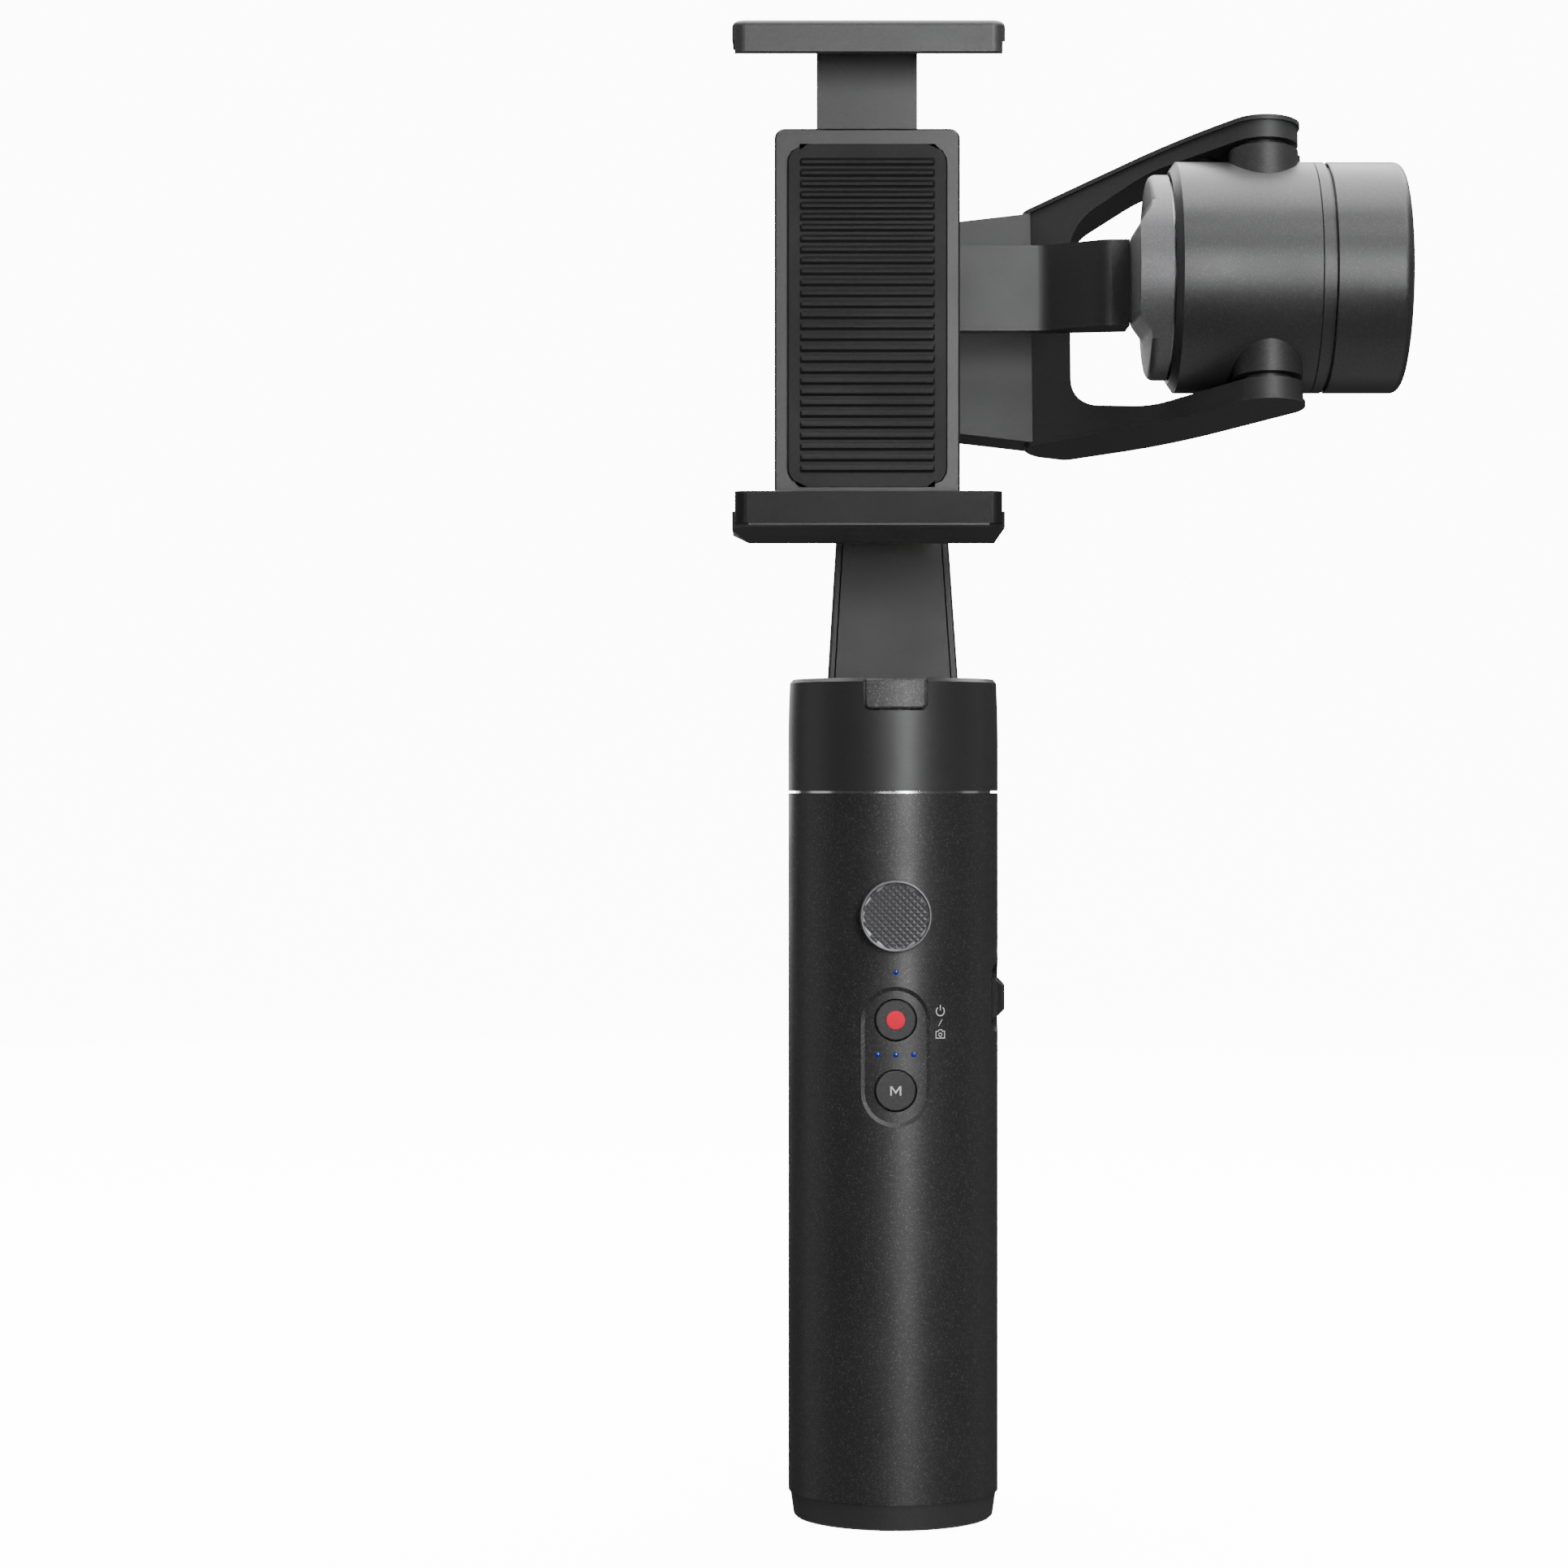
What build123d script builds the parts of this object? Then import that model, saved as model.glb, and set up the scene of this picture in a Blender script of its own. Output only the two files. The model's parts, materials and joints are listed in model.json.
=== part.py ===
"""Hand-held three-axis phone gimbal: handle, pan, roll and tilt motors, folding arm and clamp.

Frame: X to the user's right, Y away from the user, Z up. The origin is the middle of the
handle's flat foot, at the mouth of the tripod socket. All sizes are in millimetres.
"""

from build123d import *

import os
from math import cos, radians, sin, sqrt, tan

os.makedirs("parts", exist_ok=True)

# ---------------------------------------------------------------- handle
HANDLE_R = 17.0
TUBE_WALL = 1.5
FOOT_H = 4.2
TUBE_TOP = 117.0
TUBE_IN = HANDLE_R - TUBE_WALL
SOCKET_R = 3.175
SOCKET_DEPTH = 8.5

# ---------------------------------------------------------------- controls
JOY_Z = 97.6
JOY_PIVOT_Y = -9.0
JOY_CAP_R = 5.7
JOY_HOLE_R = 4.5
PANEL_R, BEVEL = 16.66, 0.64
PANEL_W, PANEL_H = 9.8, 21.0
PANEL_Z = 75.25
RECORD_Z, MODE_Z = 81.1, 69.9
BUTTON_R, BUTTON_GAP, BUTTON_TRAVEL = 3.25, 0.15, 0.6
LED_R, LED_Z, LED_ROW_Z, LED_PITCH = 0.425, 88.7, 75.6, 2.85
ZOOM_ANGLE, ZOOM_Z = 80.0, 84.0
ZOOM_SLOT_W, ZOOM_SLOT_H, ZOOM_SLOT_R = 7.8, 11.0, 2.4
PORT_Z = 92.0

# ---------------------------------------------------------------- pan head and folding arm
GAP = 0.4
PAN_BOTTOM = TUBE_TOP + GAP
PAN_TOP = 135.4
DECK_BOTTOM, DECK_TOP = 125.2, 127.2
POCKET_R = 14.6
FOLD_Y, FOLD_Z, FOLD_PIN_R = 14.5, 130.2, 1.25
KNUCKLE_W = 16.0
LATCH_W, LATCH_BOTTOM, LATCH_GAP, LATCH_CORNER = 9.6, 130.5, 0.3, 0.9
CHEEK_IN, CHEEK_W = KNUCKLE_W / 2 + 0.35, 4.3

# ---------------------------------------------------------------- head: tilt centre and leaning axes
LEAN = 9.5
TILT = Vector(0, -24.0, 197.7)
UP = Vector(0, sin(radians(LEAN)), cos(radians(LEAN)))
BACK = Vector(0, cos(radians(LEAN)), -sin(radians(LEAN)))
ARM_FRONT, ARM_THICK = 35.0, 7.0
ARM_HALF_AT_TILT, ARM_TAPER = 7.13, 3.5
ARM_LOW = -66.0
COVER_T, SEAM, EDGE_STRIP = 1.2, 0.12, 1.05
HUB_FRONT, HUB_BACK = 28.0, 34.6
ROLL_R = 17.0
YOKE_X, YOKE_T = 56.9, -6.9
BOSS_R, BOSS_TOP = 5.4, 18.15
FORK_IN, FORK_OUT, FORK_COVER = 19.05, 21.85, 22.6
FORK_ROOT = (26.0, 30.6)
FORK_ROOT_R = 4.2
SLOPE_X, HUB_EDGE, KNEE_R = 44.0, 16.8, 14.0
FORK_COVER_END, COVER_LIP = 20.0, 0.3
FORK_RISE = (FORK_OUT - HUB_EDGE) / (SLOPE_X - 2)
COVER_LOW = FORK_OUT - FORK_RISE * (SLOPE_X - FORK_COVER_END)
HINGE_PIN_R, RUN = 1.5, 0.04
STOP_X, STOP_T, STOP_R, STOP_SECTOR = 62.9, 1.0, 0.75, (60, 151)
STOP_TOP, STOP_GROOVE_DEPTH, STOP_GAP = 20.2, 1.6, 0.35

# ---------------------------------------------------------------- tilt motor body
HEAD_R = 18.0
HEAD_LEFT, HEAD_RIGHT = 42.3, 66.2
COVER_LEFT, COVER_RIGHT = 66.8, 78.6
DISC_LEFT, DISC_RIGHT, DISC_R = 39.0, 42.0, 16.0
ROOT_FACE, ARM_ROOT_FRONT, ARM_ROOT_HALF = 36.9, -18.9, 6.8
BAR_FOOT, BAR_TOP = 10.7, 6.9

# ---------------------------------------------------------------- brushless motor, used three times
SHAFT_R = 2.5
BEARING_R, BEARING_W = 5.0, 3.0
POST_R, POST_TOP = 6.0, 7.4
STATOR_R, STATOR_LOW, STATOR_HIGH = 12.9, 2.0, 7.0
ROTOR_IN, ROTOR_OUT, ROTOR_LOW, ROTOR_HIGH = 13.3, 15.0, 1.7, 7.8
CUP_R = 15.4
FLOOR_TOP, FLOOR_BOTTOM = 0.8, -1.0
TEETH, MAGNETS = 12, 14
ROLL_REAR = -BEARING_W - 1.3

# ---------------------------------------------------------------- phone clamp
CLAMP_X = -4.55
JAW_LEFT, JAW_RIGHT = -25.8, 16.7
LIP_INSET = 0.45
LIP_FRONT, LIP_BACK = -30.5, -28.3
LOWER_SEAT, UPPER_SEAT, PAD = 161.7, 234.4, 0.8
LIP_RISE, LIP_FOOT, PAD_BACK = 2.3, 159.0, -19.0
LIP_LEFT, LIP_RIGHT = JAW_LEFT + LIP_INSET, JAW_RIGHT - LIP_INSET
SHELF = LOWER_SEAT - PAD
JAW_BOTTOM, JAW_TOP, JAW_FRONT, JAW_REAR = 156.9, 237.1, -30.3, -12.9
BODY_HALF, BODY_FRONT, BODY_BACK = 14.65, -17.7, -11.3
BODY_BOTTOM, BODY_TOP = 160.9, 222.0
BODY_LEFT, BODY_RIGHT = CLAMP_X - BODY_HALF, CLAMP_X + BODY_HALF
BODY_CORNER = 1.6
ROD_X, ROD_Y, ROD_R = 11.0, -15.0, 1.2
BLOCK_LOW, BLOCK_HIGH = 183.5, 188.0
SPRING_TOP = BODY_TOP - 2.6
SPRING_R, SPRING_WIRE, SPRING_TURNS = 1.8, 0.22, 9
SLIDE_HALF, SLIDE_FRONT, SLIDE_BACK = 7.95, -16.5, -13.5

FRONT = Plane(origin=(0, 0, 0), x_dir=(1, 0, 0), z_dir=(0, -1, 0))
REAR = Plane(origin=(0, 0, 0), x_dir=(-1, 0, 0), z_dir=(0, 1, 0))
SIDE_N = Vector(sin(radians(ZOOM_ANGLE)), -cos(radians(ZOOM_ANGLE)), 0)
SIDE = Plane(origin=(0, 0, ZOOM_Z), x_dir=(-SIDE_N.Y, SIDE_N.X, 0), z_dir=SIDE_N)


def save(piece, label):
    """Label a finished piece and write it to its own file."""
    piece.part.label = label
    export_step(piece.part, f"parts/{label}.step")


def fork_plane(height):
    """Plane across the yoke's hinge: local X is X, local Y runs back along the roll axis."""
    return Plane(origin=TILT + UP * height, x_dir=(1, 0, 0), z_dir=UP)


def roll_plane(back):
    """Plane across the roll axis, facing forward: local X is X, local Y runs up the hinge."""
    return Plane(origin=TILT + BACK * back, x_dir=(1, 0, 0), z_dir=(-BACK))


def tilt_plane(x):
    """Plane across the tilt axis, facing left, towards the clamp: local Y is Z."""
    return Plane(origin=(x, TILT.Y, TILT.Z), x_dir=(0, -1, 0), z_dir=(-1, 0, 0))


def y_plane(y):
    """Upright plane facing the user at a given Y: local X is X, local Y is Z."""
    return Plane(origin=(0, y, 0), x_dir=(1, 0, 0), z_dir=(0, -1, 0))


def box_between(low, high, mode=Mode.ADD):
    """Rectangular block between two corners."""
    size = [b - a for a, b in zip(low, high)]
    middle = [(a + b) / 2 for a, b in zip(low, high)]
    with Locations(tuple(middle)):
        Box(*size, mode=mode)


def ring(plane, low, high, outer, inner=0.0, mode=Mode.ADD):
    """Round disc or ring standing on a plane, from one height to another."""
    with BuildSketch(plane.offset(low)) as profile:
        Circle(outer)
        if inner:
            Circle(inner, mode=Mode.SUBTRACT)
    extrude(profile.sketch, amount=high - low, mode=mode)


PAN_BASE = Plane(origin=(0, 0, PAN_BOTTOM), x_dir=(1, 0, 0), z_dir=(0, 0, 1))
ROLL_BASE = roll_plane(HUB_BACK + ROTOR_HIGH)
TILT_BASE = tilt_plane(DISC_RIGHT + ROTOR_HIGH)


def motor_post(base):
    """Hollow post that carries a stator outside and two bearings inside."""
    ring(base, FLOOR_BOTTOM, POST_TOP, POST_R)
    ring(base, -BEARING_W, FLOOR_BOTTOM, POST_R + 0.8)


def motor_post_bores(base):
    """Bearing seats at both ends of a motor post and the shaft's way between them."""
    ring(base, POST_TOP - BEARING_W, POST_TOP, BEARING_R, mode=Mode.SUBTRACT)
    ring(base, -BEARING_W, 0, BEARING_R, mode=Mode.SUBTRACT)
    ring(base, 0, POST_TOP - BEARING_W, BEARING_R - 1.4, mode=Mode.SUBTRACT)


def make_stator(base, label):
    """Toothed iron core with a copper coil on every tooth."""
    coil_r, coil_len, coil_w, tooth_w = 10.0, 3.0, 3.0, 1.7
    wire = 0.5
    with BuildPart() as stator:
        with BuildSketch(base.offset(STATOR_LOW)):
            Circle(STATOR_R)
            Circle(STATOR_R - 1.1, mode=Mode.SUBTRACT)
            with PolarLocations(STATOR_R, TEETH, start_angle=180 / TEETH):
                Rectangle(3.0, 1.2, mode=Mode.SUBTRACT)
            Circle(POST_R + 2.2)
            with PolarLocations(coil_r, TEETH):
                Rectangle(5.0, tooth_w)
            Circle(POST_R, mode=Mode.SUBTRACT)
        extrude(amount=STATOR_HIGH - STATOR_LOW)
    with BuildPart() as coils:
        middle = (STATOR_LOW + STATOR_HIGH) / 2
        tooth_h = STATOR_HIGH - STATOR_LOW
        with Locations(base.offset(middle)):
            with PolarLocations(coil_r, TEETH):
                Box(coil_len, coil_w, tooth_h + 2 * wire)
            with PolarLocations(coil_r, TEETH):
                Box(coil_len + 1, tooth_w, tooth_h, mode=Mode.SUBTRACT)
    with BuildPart() as wound:
        add(stator.part.solids() + coils.part.solids(), mode=Mode.ADD)
    save(wound, label)


def make_rotor(base, label):
    """Iron ring with a row of magnets on its inside, parted by narrow slots."""
    magnet_depth, slot_w = 0.9, 0.5
    with BuildPart() as rotor:
        with BuildSketch(base.offset(ROTOR_LOW)):
            Circle(ROTOR_OUT)
            Circle(ROTOR_IN, mode=Mode.SUBTRACT)
            with PolarLocations(ROTOR_IN + magnet_depth / 2, MAGNETS):
                Rectangle(magnet_depth + 0.2, slot_w, mode=Mode.SUBTRACT)
        extrude(amount=ROTOR_HIGH - ROTOR_LOW)
    save(rotor, label)


def make_bearings(base, label):
    """Two ball bearings with shallow shields between their rings."""
    shield = 0.3
    with BuildPart() as bearings:
        for low in (-BEARING_W, POST_TOP - BEARING_W):
            ring(base, low, low + BEARING_W, BEARING_R, SHAFT_R + 0.03)
            for face in (low, low + BEARING_W - shield):
                ring(base, face, face + shield, BEARING_R - 0.8, SHAFT_R + 0.8, Mode.SUBTRACT)
    save(bearings, label)


def make_shaft(base, top, label):
    """Motor shaft with the snap ring that keeps it in its bearings."""
    with BuildPart() as shaft:
        ring(base, -BEARING_W - 1.0, top, SHAFT_R)
        ring(base, -BEARING_W - 0.9, -BEARING_W - 0.1, SHAFT_R + 0.8)
    save(shaft, label)


# ================================================================ handle
with BuildPart() as handle_tube:
    ring(Plane.XY, FOOT_H, TUBE_TOP, HANDLE_R, TUBE_IN)
    with BuildSketch(FRONT.offset(HANDLE_R - 4)):
        with Locations((0, PANEL_Z)):
            SlotOverall(PANEL_H, PANEL_W, rotation=90)
        with Locations((0, JOY_Z)):
            Circle(JOY_HOLE_R)
        with Locations((0, LED_Z)):
            Circle(LED_R)
    extrude(amount=6, mode=Mode.SUBTRACT)
    with BuildSketch(SIDE.offset(HANDLE_R - 4)):
        RectangleRounded(ZOOM_SLOT_W, ZOOM_SLOT_H, ZOOM_SLOT_R)
    extrude(amount=6, mode=Mode.SUBTRACT)
    with BuildSketch(REAR.offset(HANDLE_R - 4)):
        with Locations((0, PORT_Z)):
            SlotOverall(9.8, 4.0)
    extrude(amount=6, mode=Mode.SUBTRACT)

    def on_panel_rim(edge):
        """True on the outer edge of the control panel's opening."""
        middle = edge @ 0.5
        on_skin = abs(sqrt(middle.X**2 + middle.Y**2) - HANDLE_R) < 0.01
        near = abs(middle.Z - PANEL_Z) < PANEL_H / 2 + 1 and abs(middle.X) < PANEL_W / 2 + 1
        return on_skin and near and middle.Y < 0

    skin = handle_tube.faces().filter_by(GeomType.CYLINDER).sort_by(SortBy.AREA)[-1]
    chamfer(handle_tube.edges().filter_by(on_panel_rim), BEVEL, HANDLE_R - PANEL_R, reference=skin)
save(handle_tube, "handle_tube")

with BuildPart() as base_cap:
    with BuildSketch(Plane.XZ):
        with BuildLine():
            Polyline(
                (0, 0), (15.8, 0), (16.15, 0.35), (16.7, FOOT_H), (TUBE_IN, FOOT_H),
                (TUBE_IN, 9.5), (13.8, 9.5), (13.8, 2.6), (6.2, 2.6), (6.2, 10.5), (0, 10.5), (0, 0),
            )
        make_face()
    revolve(axis=Axis.Z)
    ring(Plane.XY, 0, 9.5, 4.2, mode=Mode.SUBTRACT)
save(base_cap, "base_cap")

with BuildPart() as tripod_insert:
    ring(Plane.XY, 0, 9.5, 4.2)
    ring(Plane.XY, 0, SOCKET_DEPTH, SOCKET_R, mode=Mode.SUBTRACT)
save(tripod_insert, "tripod_insert")

with BuildPart() as handle_collar:
    ring(PAN_BASE, -9.4, -2.0, TUBE_IN, 12.8)
    ring(PAN_BASE, -2.0, -GAP, TUBE_IN)
    ring(PAN_BASE, -GAP, 1.2, 15.8)
    motor_post(PAN_BASE)
    motor_post_bores(PAN_BASE)
save(handle_collar, "handle_collar")

with BuildPart() as control_panel:
    ring(Plane.XY, PANEL_Z - 14, PANEL_Z + 14, PANEL_R, 14.6)
    with BuildSketch(FRONT.offset(10)):
        with Locations((0, PANEL_Z)):
            SlotOverall(PANEL_H, PANEL_W, rotation=90)
    extrude(amount=8, mode=Mode.INTERSECT)
    with BuildSketch(FRONT.offset(10)):
        with Locations((0, RECORD_Z), (0, MODE_Z)):
            Circle(BUTTON_R + BUTTON_GAP)
        with Locations((-LED_PITCH, LED_ROW_Z), (0, LED_ROW_Z), (LED_PITCH, LED_ROW_Z)):
            Circle(LED_R)
    extrude(amount=8, mode=Mode.SUBTRACT)
save(control_panel, "control_panel")

with BuildPart() as led_light_pipes:
    with BuildSketch(y_plane(-12.4)):
        with Locations((-LED_PITCH, LED_ROW_Z), (0, LED_ROW_Z), (LED_PITCH, LED_ROW_Z)):
            Circle(LED_R)
    extrude(amount=PANEL_R + 0.05 - 12.4)
    with BuildSketch(y_plane(-14.0)):
        with Locations((0, LED_Z)):
            Circle(LED_R)
    extrude(amount=3.05)
save(led_light_pipes, "led_light_pipes")

with BuildPart() as inner_chassis:
    ring(Plane.XY, 9.5, 107.0, 15.2, 13.9)
    ring(Plane.XY, 77.0, 79.5, 14.5)
    box_between((-20, -20, 0), (20, -4.0, 120), Mode.SUBTRACT)
    box_between((-5.4, 10, PORT_Z - 2.6), (5.4, 20, PORT_Z + 2.6), Mode.SUBTRACT)
    box_between((6, -10, ZOOM_Z - 8), (20, 4.5, ZOOM_Z + 8), Mode.SUBTRACT)
save(inner_chassis, "inner_chassis")

with BuildPart() as battery_cell:
    with Locations((0, 2.4, 11.5)):
        Cylinder(9.1, 64.0, align=(Align.CENTER, Align.CENTER, Align.MIN))
    fillet(battery_cell.edges(), 0.8)
    with Locations((0, 2.4, 75.5)):
        Cylinder(2.8, 1.5, align=(Align.CENTER, Align.CENTER, Align.MIN))
save(battery_cell, "battery_cell")

with BuildPart() as main_board:
    box_between((-11.0, 7.0, 79.5), (11.0, 8.2, 106.0))
    box_between((-4.0, 5.6, 84.0), (4.0, 7.0, 92.0))
    box_between((-7.5, 5.9, 96.0), (-2.0, 7.0, 101.5))
    box_between((2.5, 5.9, 96.0), (7.0, 7.0, 100.5))
save(main_board, "main_board")

with BuildPart() as charging_socket:
    with BuildSketch(REAR.offset(8.2)):
        with Locations((0, PORT_Z)):
            SlotOverall(8.9, 3.2)
    extrude(amount=8.4)
    with BuildSketch(REAR.offset(10.2)):
        with Locations((0, PORT_Z)):
            SlotOverall(8.3, 2.6)
    extrude(amount=6.4, mode=Mode.SUBTRACT)
    box_between((-3.3, 9.6, PORT_Z - 0.35), (3.3, 14.8, PORT_Z + 0.35))
save(charging_socket, "charging_socket")

with BuildPart() as button_board:
    box_between((-8.0, -10.6, 63.0), (8.0, -9.4, 88.5))
    for z in (RECORD_Z, MODE_Z):
        box_between((-2.6, -12.0, z - 2.6), (2.6, -10.6, z + 2.6))
        with Locations(Location((0, -12.0, z), (90, 0, 0))):
            Cylinder(1.2, 0.3, align=(Align.CENTER, Align.CENTER, Align.MIN))
save(button_board, "button_board")

for label, z in (("record_button", RECORD_Z), ("mode_button", MODE_Z)):
    with BuildPart() as button:
        with BuildSketch(y_plane(-13.2)):
            with Locations((0, z)):
                Circle(BUTTON_R)
        extrude(amount=PANEL_R + 0.04 - 13.2)
        chamfer(button.faces().sort_by(Axis.Y)[0].edges(), 0.2)
        with BuildSketch(y_plane(-13.0)):
            with Locations((0, z)):
                Circle(BUTTON_R + 0.5)
        extrude(amount=0.7)
    save(button, label)

# ---------------------------------------------------------------- joystick
JOY_PLANE = Plane(origin=(0, JOY_PIVOT_Y, JOY_Z), x_dir=(1, 0, 0), z_dir=(0, -1, 0))
with BuildPart() as joystick_module:
    box_between((-5.6, JOY_PIVOT_Y - 3.2, JOY_Z - 5.6), (5.6, JOY_PIVOT_Y + 4.4, JOY_Z + 5.6))
    box_between(
        (-4.4, JOY_PIVOT_Y - 2.2, JOY_Z - 4.4), (4.4, JOY_PIVOT_Y + 3.4, JOY_Z + 4.4), Mode.SUBTRACT
    )
    ring(JOY_PLANE, 0, 4, 3.6, mode=Mode.SUBTRACT)
    with BuildSketch(Plane.YZ.offset(-5.6)):
        with Locations((JOY_PIVOT_Y, JOY_Z)):
            Circle(0.6 + RUN)
    extrude(amount=11.2, mode=Mode.SUBTRACT)
save(joystick_module, "joystick_module")

with BuildPart() as joystick_ring:
    box_between((-3.6, JOY_PIVOT_Y - 1.0, JOY_Z - 3.6), (3.6, JOY_PIVOT_Y + 1.0, JOY_Z + 3.6))
    box_between(
        (-2.5, JOY_PIVOT_Y - 1.0, JOY_Z - 2.5), (2.5, JOY_PIVOT_Y + 1.0, JOY_Z + 2.5), Mode.SUBTRACT
    )
    with BuildSketch(Plane.XY.offset(JOY_Z - 3.6)):
        with Locations((0, JOY_PIVOT_Y)):
            Circle(0.6 + RUN)
    extrude(amount=7.2, mode=Mode.SUBTRACT)
    for x in (-5.4, 3.4):
        with BuildSketch(Plane.YZ.offset(x)):
            with Locations((JOY_PIVOT_Y, JOY_Z)):
                Circle(0.6)
        extrude(amount=2.0)
save(joystick_ring, "joystick_ring")

with BuildPart() as joystick_cap:
    with BuildSketch(Plane.YZ):
        with BuildLine():
            Polyline(
                (JOY_PIVOT_Y + 1.6, JOY_Z), (JOY_PIVOT_Y + 1.6, JOY_Z + 1.5), (-14.0, JOY_Z + 1.5),
                (-17.9, JOY_Z + 2.4), (-18.3, JOY_Z + 5.2), (-18.45, JOY_Z + JOY_CAP_R),
                (-18.85, JOY_Z + JOY_CAP_R), (-19.1, JOY_Z + 5.55), (-19.1, JOY_Z + 5.25),
                (-18.75, JOY_Z + 5.1), (-18.9, JOY_Z), (JOY_PIVOT_Y + 1.6, JOY_Z),
            )
        make_face()
    revolve(axis=Axis((0, 0, JOY_Z), (0, 1, 0)))
    with BuildSketch(Plane.XY.offset(JOY_Z - 3.3)):
        with Locations((0, JOY_PIVOT_Y)):
            Circle(0.6)
    extrude(amount=6.6)
save(joystick_cap, "joystick_cap")

# ---------------------------------------------------------------- zoom slider
with BuildPart() as zoom_knob:
    with BuildSketch(Plane(origin=(0, 0, ZOOM_Z), x_dir=SIDE_N, z_dir=(SIDE_N.Y, -SIDE_N.X, 0))):
        with BuildLine():
            Polyline(
                (14.6, -3.15), (16.8, -3.15), (18.0, -2.0), (18.0, 2.0), (16.8, 3.15),
                (14.6, 3.15), (14.6, -3.15),
            )
        make_face()
    extrude(amount=2.4, both=True)
    knob_top = zoom_knob.faces().sort_by(Axis((0, 0, ZOOM_Z), SIDE_N))[-1]
    chamfer(knob_top.edges().filter_by(Axis.Z), 0.6)
    with BuildSketch(SIDE.offset(13.9)):
        Rectangle(5.4, 9.2)
    extrude(amount=0.8)
    with BuildSketch(SIDE.offset(12.9)):
        Rectangle(1.6, 2.0)
    extrude(amount=1.2)
save(zoom_knob, "zoom_knob")

with BuildPart() as zoom_switch:
    with BuildSketch(SIDE.offset(8.5)):
        Rectangle(5.5, 12.0)
    extrude(amount=5.0)
    with BuildSketch(SIDE.offset(12.3)):
        Rectangle(2.4, 6.4)
    extrude(amount=1.3, mode=Mode.SUBTRACT)
save(zoom_switch, "zoom_switch")

# ================================================================ pan motor and pan head
make_bearings(PAN_BASE, "pan_bearings")
make_stator(PAN_BASE, "pan_stator")
make_rotor(PAN_BASE, "pan_rotor")
make_shaft(PAN_BASE, DECK_TOP - PAN_BOTTOM, "pan_shaft")

with BuildPart() as pan_housing:
    with BuildSketch(Plane.XZ):
        with BuildLine():
            Polyline((0, DECK_BOTTOM), (ROTOR_OUT, DECK_BOTTOM), (ROTOR_OUT, PAN_BOTTOM + 1.5))
            Polyline((ROTOR_OUT, PAN_BOTTOM + 1.5), (16.15, PAN_BOTTOM + 1.5), (16.15, PAN_BOTTOM))
            Polyline((16.15, PAN_BOTTOM), (HANDLE_R, PAN_BOTTOM), (HANDLE_R, 124.0))
            ThreePointArc((HANDLE_R, 124.0), (HANDLE_R - 0.06, 129.6), (HANDLE_R - 0.25, 134.8))
            Polyline((HANDLE_R - 0.25, 134.8), (HANDLE_R - 0.75, PAN_TOP), (POCKET_R, PAN_TOP))
            Polyline((POCKET_R, PAN_TOP), (POCKET_R, DECK_TOP), (0, DECK_TOP), (0, DECK_BOTTOM))
        make_face()
    revolve(axis=Axis.Z)
    ring(Plane.XY, DECK_BOTTOM, DECK_TOP, SHAFT_R, mode=Mode.SUBTRACT)
    for x in (-CHEEK_IN - CHEEK_W, CHEEK_IN):
        with BuildSketch(Plane.YZ.offset(x)):
            with BuildLine():
                Polyline((8.5, DECK_TOP), (8.5, 132.2), (FOLD_Y, FOLD_Z + 3.0))
                ThreePointArc((FOLD_Y, FOLD_Z + 3), (FOLD_Y + 3, FOLD_Z), (FOLD_Y + 2.1, FOLD_Z - 2.14))
                Polyline((FOLD_Y + 2.1, FOLD_Z - 2.14), (13.4, 124.8), (13.4, DECK_TOP), (8.5, DECK_TOP))
            make_face()
        extrude(amount=CHEEK_W)
    box_between((-CHEEK_IN, 2, DECK_TOP), (CHEEK_IN, 20, 140), Mode.SUBTRACT)
    with BuildSketch(y_plane(-10)):
        with Locations((0, LATCH_BOTTOM - LATCH_GAP)):
            Rectangle(LATCH_W + 2 * LATCH_GAP, 20, align=(Align.CENTER, Align.MIN))
        fillet(vertices().group_by(Axis.Y)[0], LATCH_CORNER + LATCH_GAP)
    extrude(amount=10, mode=Mode.SUBTRACT)
    with BuildSketch(Plane.YZ.offset(-14)):
        with Locations((FOLD_Y, FOLD_Z)):
            Circle(FOLD_PIN_R)
    extrude(amount=28, mode=Mode.SUBTRACT)
    ring(PAN_BASE, ROTOR_LOW, ROTOR_HIGH, ROTOR_OUT, mode=Mode.SUBTRACT)
    box_between((-4.2, -10.5, DECK_TOP), (4.2, -10.1, 131.4))
    box_between((-2.8, -11, DECK_TOP), (2.8, -10, 128.9), Mode.SUBTRACT)
save(pan_housing, "pan_housing")

with BuildPart() as fold_pin:
    with BuildSketch(Plane.YZ.offset(-CHEEK_IN - CHEEK_W)):
        with Locations((FOLD_Y, FOLD_Z)):
            Circle(FOLD_PIN_R)
    extrude(amount=2 * (CHEEK_IN + CHEEK_W))
save(fold_pin, "fold_pin")

with BuildPart() as latch_button:
    with BuildSketch(y_plane(-12.9)):
        with Locations((0, LATCH_BOTTOM)):
            Rectangle(LATCH_W, PAN_TOP - 0.15 - LATCH_BOTTOM, align=(Align.CENTER, Align.MIN))
        fillet(vertices().group_by(Axis.Y)[0], LATCH_CORNER)
    extrude(amount=6)
    with BuildSketch(Plane.XY.offset(120)):
        Circle(HANDLE_R)
    extrude(amount=20, mode=Mode.INTERSECT)
    box_between((-2.4, -13.9, 127.5), (2.4, -12.7, LATCH_BOTTOM + 1))
    box_between((-2.4, -12.7, 127.5), (2.4, -6.1, 128.5))
    box_between((-2.4, -7.7, 127.5), (2.4, -6.1, 132.6))
    box_between((-2.4, -8.9, 131.6), (2.4, -7.7, 132.6))
    front_face = latch_button.faces().filter_by(GeomType.CYLINDER).sort_by(SortBy.AREA)[-1]
    chamfer(front_face.edges(), 0.3)
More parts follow.
